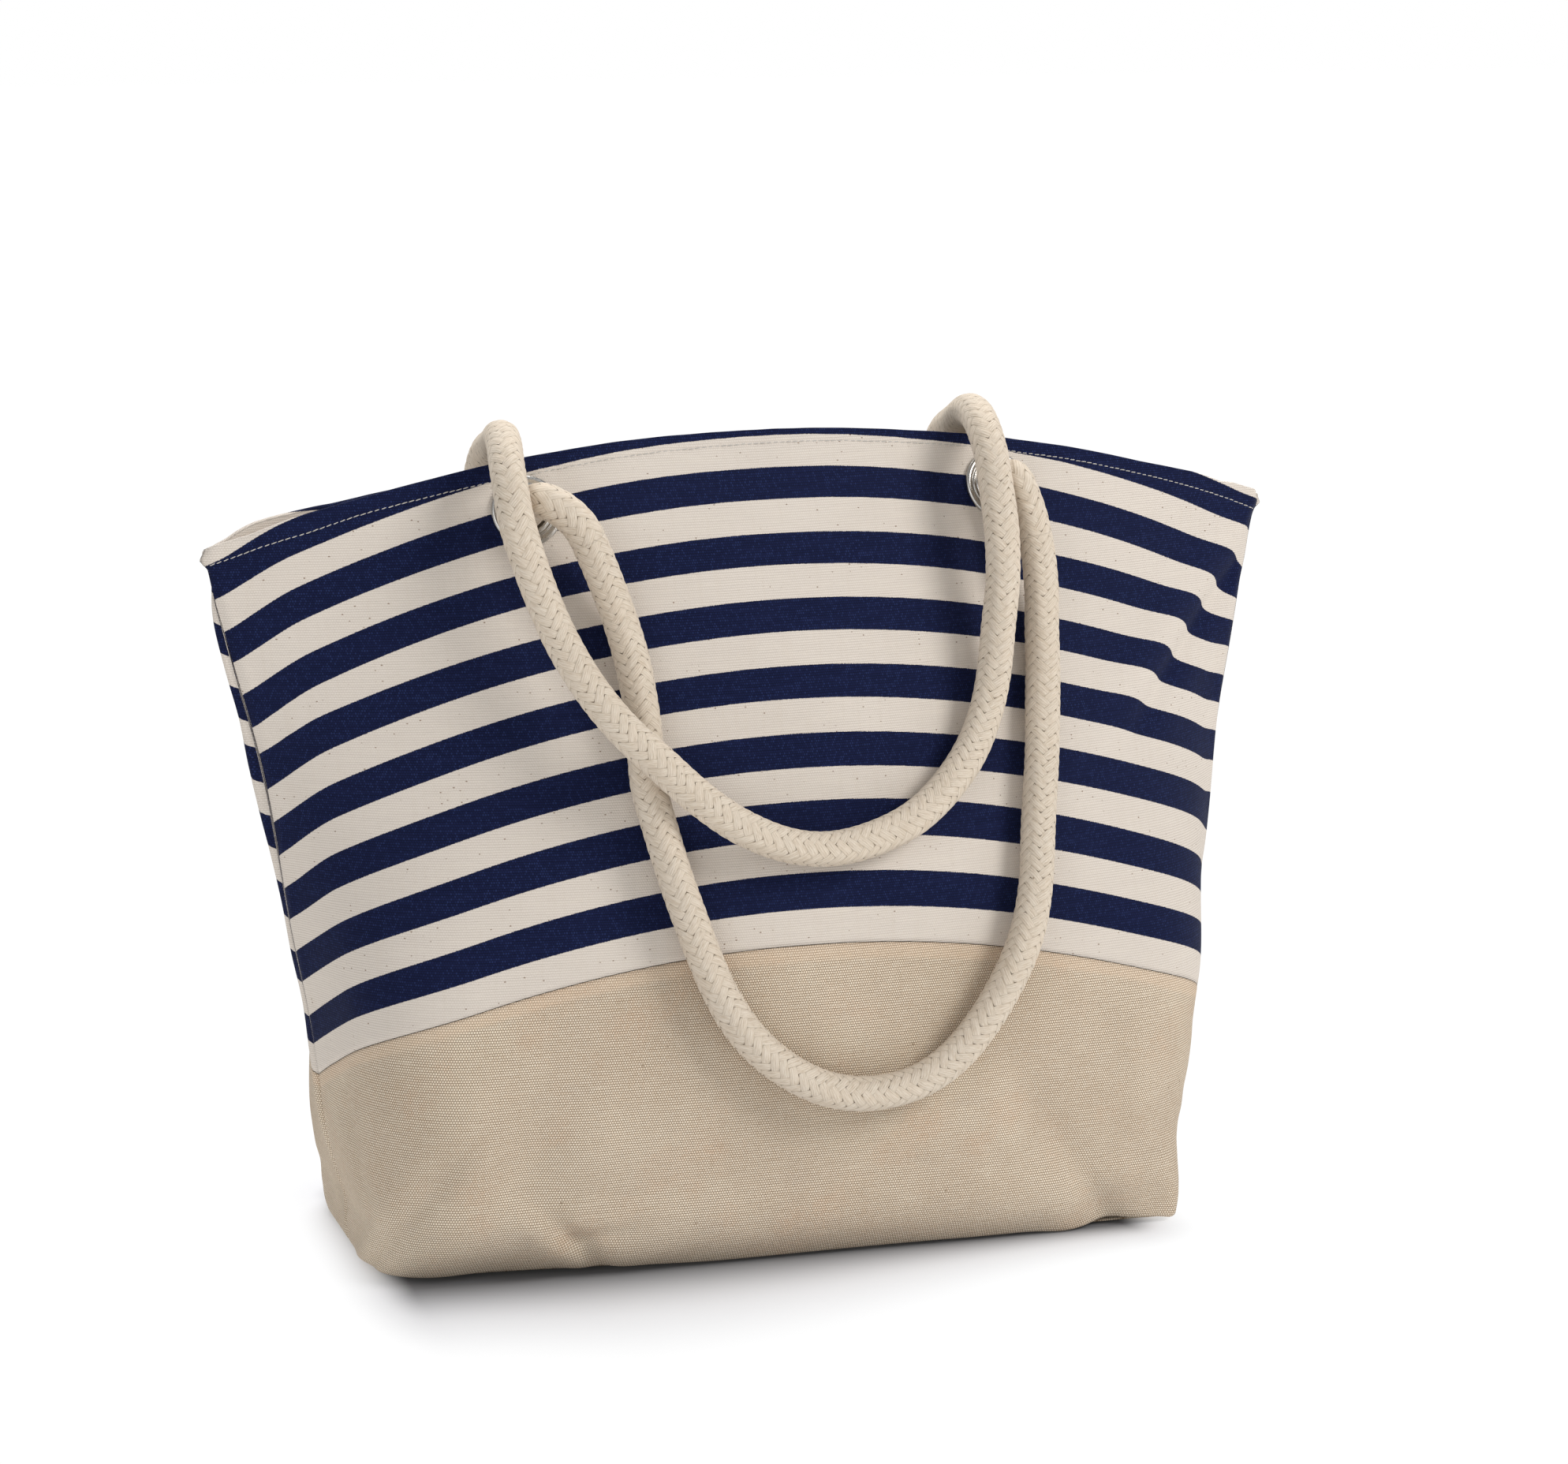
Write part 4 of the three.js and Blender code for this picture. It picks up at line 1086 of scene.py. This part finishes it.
        # round the hole's edge: move its rim points onto the barrel's circle
        rim = np.unique(np.array(walls)[:, :2])
        for r_id in rim:
            j, i = divmod(int(r_id), n)
            for key, (ex, ez, eb) in EYES.items():
                if eb != back:
                    continue
                E, D = EYE[key][1], EYE[key][2]
                for vid in (r_id, base_i + r_id):
                    p = verts[vid]
                    w = p - E
                    ax = w @ D
                    rad = w - D * ax
                    m = np.linalg.norm(rad)
                    if m < 16:
                        verts[vid] = E + D * ax + rad / m * 11.2
    # lower edge, sides and fold
    i = np.arange(n - 1)
    faces.append(np.stack([i, base_i + i, base_i + i + 1, i + 1], -1))
    j = np.arange(rows - 1)
    faces.append(np.stack([j * n, (j + 1) * n, base_i + (j + 1) * n, base_i + j * n], -1))
    e = n - 1
    faces.append(np.stack([j * n + e, base_i + j * n + e, base_i + (j + 1) * n + e, (j + 1) * n + e], -1))
    order = [(rows - 1) * n] + [base_c + k * n for k in range(len(caps))] + [base_i + (rows - 1) * n]
    for a, b in zip(order[:-1], order[1:]):
        faces.append(np.stack([a + i, a + i + 1, b + i + 1, b + i], -1))
    flist = np.concatenate(faces).tolist()
    if len(order) > 2:
        flist.append([x for x in order][::1])
        flist.append([x + e for x in order][::-1])
    if back:
        flist = [f[::-1] for f in flist]
    return verts, flist, uv, attrs


def orient(ob):
    """Faces point out of the closed mesh."""
    import bmesh
    bm = bmesh.new()
    bm.from_mesh(ob.data)
    used = [v for v in bm.verts if not v.link_faces]
    bmesh.ops.delete(bm, geom=used, context="VERTS")
    if bm.calc_volume(signed=True) < 0:
        bmesh.ops.reverse_faces(bm, faces=bm.faces)
    bm.to_mesh(ob.data)
    bm.free()


for back in (False, True):
    side = "back" if back else "front"
    for kind, mat, slot_name in (("canvas", CANVAS, "striped_canvas"), ("jute", JUCO, "jute_weave")):
        v, f, uv, attrs = panel(side, back, kind)
        ob = new_mesh(f"{side}_{kind}_cloth", v, f, mat, {"cloth": uv}, attrs)
        orient(ob)
        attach(ob, "bag")
        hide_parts(f"{side}_{kind}_panel")

# The base: rings that close in on the middle of the floor, with slack in the cloth.
def make_base():
    ss = columns(120)[:-1]
    front = section(ss, np.full_like(ss, 0.0), False)
    rear = section(-ss, np.full_like(ss, 0.0), True)
    nf, nr = normal(ss, np.full_like(ss, 12.0), False), normal(-ss, np.full_like(ss, 12.0), True)
    nf[:, 2] = 0
    nr[:, 2] = 0
    out = np.concatenate([front - nf / np.linalg.norm(nf, axis=1, keepdims=True) * 5.0, rear - nr / np.linalg.norm(nr, axis=1, keepdims=True) * 5.0])
    N = len(out)
    K = 34
    rings, zs = [], []
    for k in range(K):
        f = 1 - (k / K)
        p = out * f
        rings.append(p)
    rings = np.array(rings)
    x, y = rings[..., 0], rings[..., 1]
    r = np.arange(K)[:, None] / K
    lo = 0.75 + 0.9 * np.sin(x / 37.0 + y / 29.0) ** 2 * smooth(r * 4) + 0.35 * smooth(r * 8)
    lo[0] = 1.5
    hi = lo + 1.7
    hi[0] = 2.4
    bottom, upper = rings.copy(), rings.copy()
    bottom[..., 2], upper[..., 2] = lo, hi
    verts = np.concatenate([bottom.reshape(-1, 3), upper.reshape(-1, 3), [[0, 0, 1.1], [0, 0, 2.8]]])
    verts = turn(verts)
    faces = []
    B = K * N
    for k in range(K - 1):
        for i in range(N):
            a, b = k * N + i, k * N + (i + 1) % N
            c, d = b + N, a + N
            faces.append([a, d, c, b])
            faces.append([B + a, B + b, B + c, B + d])
    for i in range(N):
        a, b = i, (i + 1) % N
        faces.append([a, b, B + b, B + a])
        a2, b2 = (K - 1) * N + i, (K - 1) * N + (i + 1) % N
        faces.append([a2, 2 * B, b2])
        faces.append([B + a2, B + b2, 2 * B + 1])
    uv = verts[:, :2] * MM + np.array([0.8, 0.9])
    # painted shade on the outer ring of the base, where it meets the walls
    painted_shade = np.concatenate([np.repeat((np.arange(K) == 0) * 0.5, N), np.repeat((np.arange(K) == 0) * 0.5, N), [0, 0]])
    ob = new_mesh("base_cloth", verts, faces, JUCO, {"cloth": uv}, {"painted_shade": painted_shade, "join": painted_shade * 0})
    orient(ob)
    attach(ob, "bag")
    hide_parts("base_panel")
    return ob


base = make_base()


# ------------------------------------------------------------------ hem stitches
def stitches(side, back):
    """Two rows of sewn stitches, the outer one and the one seen inside, each stitch a short thread that dives into the cloth."""
    verts, faces, uvs = [], [], []
    s = np.linspace(-0.992, 0.992, 4001)
    z = stitch_z(s, back)
    on = cloth(s, z, np.full_like(s, 1.0), back, seam_groove(s, z, back) - 0.32)
    arc = np.concatenate([[0], np.cumsum(np.linalg.norm(np.diff(on, axis=0), axis=1))])
    pitch, seg, rows = 3.3, 8, 7
    count = int(arc[-1] / pitch)
    rng = np.random.default_rng(11 if back else 7)
    for layer in (0, 1):
        for k in range(count):
            a0 = k * pitch + 0.28 + (0.5 * pitch if layer else 0.0)
            a1 = a0 + pitch - 0.56
            if a1 > arc[-1]:
                continue
            jit = rng.normal(0, 0.05)
            ring_at = np.linspace(a0, a1, rows)
            sk = np.interp(ring_at, arc, s)
            zk = stitch_z(sk, back) + np.linspace(-0.12, 0.12, rows) + jit
            # leave out stitches under an eyelet flange
            if any(eb == back and np.hypot((sk[3] - EYE[key][0]) * half_length(sk[3:4], zk[3:4], back)[0], zk[3] - ez) < 17.5 for key, (ex, ez, eb) in EYES.items()):
                continue
            arch = np.sin(np.linspace(0, math.pi, rows)) ** 0.5
            rad = 0.25 * np.array([0.55, 0.9, 1, 1, 1, 0.9, 0.55])
            if layer == 0:
                off, ext = 1.0 - 0.32 - 0.18 + 0.34 * arch, seam_groove(sk, zk, back)
            else:
                off, ext = -1.45 + 0.1 - 0.30 * arch, np.zeros(rows)
            c = cloth(sk, zk, off, back, ext)
            t, nn, bb = frames(c, (0, 0, 1))
            ang = np.arange(seg) / seg * 2 * math.pi
            ring = c[:, None] + rad[:, None, None] * (np.cos(ang)[None, :, None] * nn[:, None] + np.sin(ang)[None, :, None] * bb[:, None])
            b0 = len(verts)
            verts.extend(ring.reshape(-1, 3).tolist())
            for r in range(rows):
                for g in range(seg):
                    uvs.append((g / seg, (ring_at[r] - a0)))
            for r in range(rows - 1):
                for g in range(seg):
                    g2 = (g + 1) % seg
                    faces.append([b0 + r * seg + g, b0 + r * seg + g2, b0 + (r + 1) * seg + g2, b0 + (r + 1) * seg + g])
            faces.append([b0 + g for g in range(seg)][::-1])
            faces.append([b0 + (rows - 1) * seg + g for g in range(seg)])
    ob = new_mesh(f"{side}_hem_stitching", np.array(verts), faces, THREAD, {"thread": np.array(uvs)})
    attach(ob, "bag")
    return ob


hems = {False: stitches("front", False), True: stitches("back", True)}


# ------------------------------------------------------------- eyelets, washers
def lathe(profile, seg=96):
    """A closed ring from a closed profile of (radius, height)."""
    prof = np.asarray(profile, float)
    a = np.arange(seg) / seg * 2 * math.pi
    n = len(prof)
    pts = np.stack([prof[None, :, 0] * np.cos(a)[:, None], prof[None, :, 0] * np.sin(a)[:, None], np.broadcast_to(prof[None, :, 1], (seg, n))], -1)
    faces = []
    for i in range(seg):
        i2 = (i + 1) % seg
        for k in range(n):
            k2 = (k + 1) % n
            faces.append([i * n + k, i2 * n + k, i2 * n + k2, i * n + k2])
    return pts.reshape(-1, 3), faces


def arc_pts(cx, cy, r, a0, a1, n):
    a = np.radians(np.linspace(a0, a1, n))
    return [(cx + r * math.cos(x), cy + r * math.sin(x)) for x in a]


def stand(points, E, D):
    D = D / np.linalg.norm(D)
    x = np.cross([0, 0, 1.0], D)
    x /= np.linalg.norm(x)
    y = np.cross(D, x)
    return E + points[:, :1] * x + points[:, 1:2] * y + points[:, 2:3] * D


EYELET = (
    arc_pts(15.35, 2.2, 1.45, -62, 118, 16)                 # rolled outer rim
    + [(13.6, 2.75), (13.2, 2.55)] + arc_pts(12.6, 2.75, 0.45, 10, 150, 6)   # step
    + [(11.7, 2.45)] + arc_pts(10.7, 2.35, 1.05, 60, 180, 10)   # inner roll into the barrel
    + [(9.6, 1.0), (9.6, -4.2), (9.9, -4.6), (10.6, -4.6), (10.8, -4.2), (10.8, 0.9), (15.6, 0.95)])
WASHER = (
    [(11.25, -1.45)] + arc_pts(14.7, -2.0, 0.75, 60, -60, 8) + [(13.4, -2.55)] + arc_pts(12.2, -2.3, 0.55, -60, -180, 7) + [(11.3, -2.0)])


for key, (s0, E, D) in EYE.items():
    v, f = lathe(EYELET)
    eye = new_mesh(key + "_eyelet_ring", stand(v, E, D), f, NICKEL)
    orient(eye)
    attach(eye, "bag")
    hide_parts(key + "_eyelet")
    v, f = lathe(WASHER)
    v = v + np.array([0, 0, 1.1])
    w = new_mesh(key + "_washer_ring", stand(v, E, D), f, NICKEL)
    orient(w)
    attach(w, "bag")
    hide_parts(key + "_washer")


# ------------------------------------------------- flat size of each sheet, worked out and not kept
def cut_size(back):
    """Flat sizes, from the lengths along the middle surface."""
    s = np.linspace(-1, 1, 401)
    out = {}
    for kind in ("canvas", "jute"):
        lo = seam_z(s) if kind == "canvas" else np.zeros_like(s)
        hi = top_z(s, back) if kind == "canvas" else seam_z(s)
        area, widest = 0.0, 0.0
        for f in (0.0, 0.25, 0.5, 0.75, 1.0):
            p = section(s, lo + (hi - lo) * f, back)
            widest = max(widest, np.linalg.norm(np.diff(p, axis=0), axis=1).sum())
        rows = [section(s, lo + (hi - lo) * f, back) for f in np.linspace(0, 1, 61)]
        g = np.array(rows)
        a = np.cross(g[1:, 1:] - g[:-1, :-1], g[1:, :-1] - g[:-1, 1:]) / 2
        area = np.linalg.norm(a, axis=-1).sum()
        p = section(np.zeros(61), np.linspace(seam_z(0.0) if kind == "canvas" else 0.0, float(top_z(np.array([0.0]), back)[0]) if kind == "canvas" else seam_z(0.0), 61), back)
        height = np.linalg.norm(np.diff(p, axis=0), axis=1).sum()
        # the arc of the lower or upper edge makes the cut taller than its middle
        arch = float(seam_z(0.0) - seam_z(1.0)) if kind == "canvas" else 0.0
        out[kind] = (widest, height + arch + (FLAP if kind == "canvas" else 0.0), area + (FLAP * widest if kind == "canvas" else 0.0))
    return out


for back in (False, True):
    side = "back" if back else "front"
    for kind, (w, h, area) in cut_size(back).items():
        flat = (round((w + 20) * MM, 3), round((h + 20) * MM, 3))  # with 10 mm of seam all round
        a = min(area * MM * MM + 0.02 * 0.0, flat[0] * flat[1])


# ------------------------------------------------------------- floor and light
def make_stage():
    t = Tree("pale_floor")
    co = t.nt.nodes.new("ShaderNodeTexCoord")
    n = t.noise(co.outputs["Object"], 6.0, 3.0)
    # plain bright ground all round, with the shaded part only near what stands on it
    sx = t.nt.nodes.new("ShaderNodeSeparateXYZ")
    t.nt.links.new(co.outputs["Object"], sx.inputs[0])
    # along and across the foot of what stands here
    c, k = math.cos(TWIST), math.sin(TWIST)
    fx = t.m("ADD", t.m("MULTIPLY", sx.outputs[0], c), t.m("MULTIPLY", sx.outputs[1], k))
    fy = t.m("SUBTRACT", t.m("MULTIPLY", sx.outputs[1], c), t.m("MULTIPLY", sx.outputs[0], k))
    side = t.m("MAXIMUM", t.m("SUBTRACT", t.m("ABSOLUTE", t.m("ADD", fx, 0.012)), 0.176), 0.0)
    fore = t.m("MAXIMUM", t.m("SUBTRACT", t.m("MULTIPLY", fy, -1.0), 0.078), 0.0)
    rear = t.m("MAXIMUM", t.m("SUBTRACT", fy, 0.082), 0.0)
    # the shade is deepest left of the middle and runs out towards the right
    reach = t.m("SUBTRACT", 0.150, t.m("MULTIPLY", t.sstep(fx, -0.10, 0.19), 0.105))
    reach = t.m("SUBTRACT", reach, t.m("MULTIPLY", t.sstep(t.m("MULTIPLY", fx, -1.0), 0.10, 0.20), 0.03))
    a, b, r = t.m("DIVIDE", side, 0.040), t.m("DIVIDE", fore, reach), t.m("DIVIDE", rear, 0.06)
    lngth = t.m("SQRT", t.m("ADD", t.m("ADD", t.m("MULTIPLY", a, a), t.m("MULTIPLY", b, b)), t.m("MULTIPLY", r, r)))
    far = t.sstep(lngth, -0.06, 1.0)
    # painted shadow: the floor's colour darkens towards the foot of the bag, down to a fifth of the ground colour
    floor_painted_shadow = t.m("ADD", 0.20, t.m("MULTIPLY", t.sstep(lngth, -0.10, 0.50), 0.78))
    ground = t.mix(n, (0.88, 0.885, 0.93), (0.90, 0.905, 0.94))
    t.set(Base_Color=t.mix(floor_painted_shadow, (0.0, 0.0, 0.0), ground), Roughness=0.9)
    t.bsdf.inputs["Specular IOR Level"].default_value = 0.1
    em = t.nt.nodes.new("ShaderNodeEmission")
    em.inputs[0].default_value = (1, 1, 1, 1)
    em.inputs[1].default_value = 1.02
    mx = t.nt.nodes.new("ShaderNodeMixShader")
    t.nt.links.new(far, mx.inputs[0])
    t.nt.links.new(t.bsdf.outputs[0], mx.inputs[1])
    t.nt.links.new(em.outputs[0], mx.inputs[2])
    t.nt.links.new(mx.outputs[0], t.out.inputs[0])
    me = bpy.data.meshes.new("floor")
    k = 24.0
    me.from_pydata([(-k, -k, 0), (k, -k, 0), (k, k, 0), (-k, k, 0)], [], [(0, 1, 2, 3)])
    me.materials.append(t.mat)
    fl = bpy.data.objects.new("floor", me)
    scene.collection.objects.link(fl)
    world = bpy.data.worlds.new("studio")
    world.use_nodes = True
    bg = world.node_tree.nodes["Background"]
    bg.inputs[0].default_value = (1.0, 1.0, 1.0, 1)
    bg.inputs[1].default_value = 1.0
    # dimmer and slightly blue to everything but the camera, and pure white to the camera
    nt = world.node_tree
    lp = nt.nodes.new("ShaderNodeLightPath")
    dim = nt.nodes.new("ShaderNodeBackground")
    dim.inputs[0].default_value = (0.97, 0.98, 1.0, 1)
    dim.inputs[1].default_value = 0.40
    mixer = nt.nodes.new("ShaderNodeMixShader")
    nt.links.new(lp.outputs["Is Camera Ray"], mixer.inputs[0])
    nt.links.new(dim.outputs[0], mixer.inputs[1])
    nt.links.new(bg.outputs[0], mixer.inputs[2])
    nt.links.new(mixer.outputs[0], nt.nodes["World Output"].inputs[0])
    scene.world = world

    def area(name, place, target, size, power, colour=(1, 1, 1)):
        d = bpy.data.lights.new(name, "AREA")
        d.shape = "DISK"
        d.size = size
        d.energy = power
        d.color = colour
        o = bpy.data.objects.new(name, d)
        o.location = place
        o.rotation_mode = "QUATERNION"
        o.rotation_quaternion = (Vector(target) - Vector(place)).to_track_quat("-Z", "Y")
        scene.collection.objects.link(o)

    area("key", (1.55, -1.75, 1.75), (0, 0, 0.2), 1.25, 38.0, (1.0, 0.985, 0.97))
    area("behind", (0.1, 1.1, 2.1), (0, 0, 0.1), 1.3, 40.0, (1.0, 1.0, 1.0))
    area("fill", (-2.0, -2.0, 1.2), (0, 0, 0.2), 1.6, 11.0, (0.97, 0.98, 1.0))
    scene.view_settings.view_transform = "Standard"
    scene.view_settings.look = "None"
    scene.view_settings.exposure = 0.0
    scene.view_settings.gamma = 1.0


make_stage()
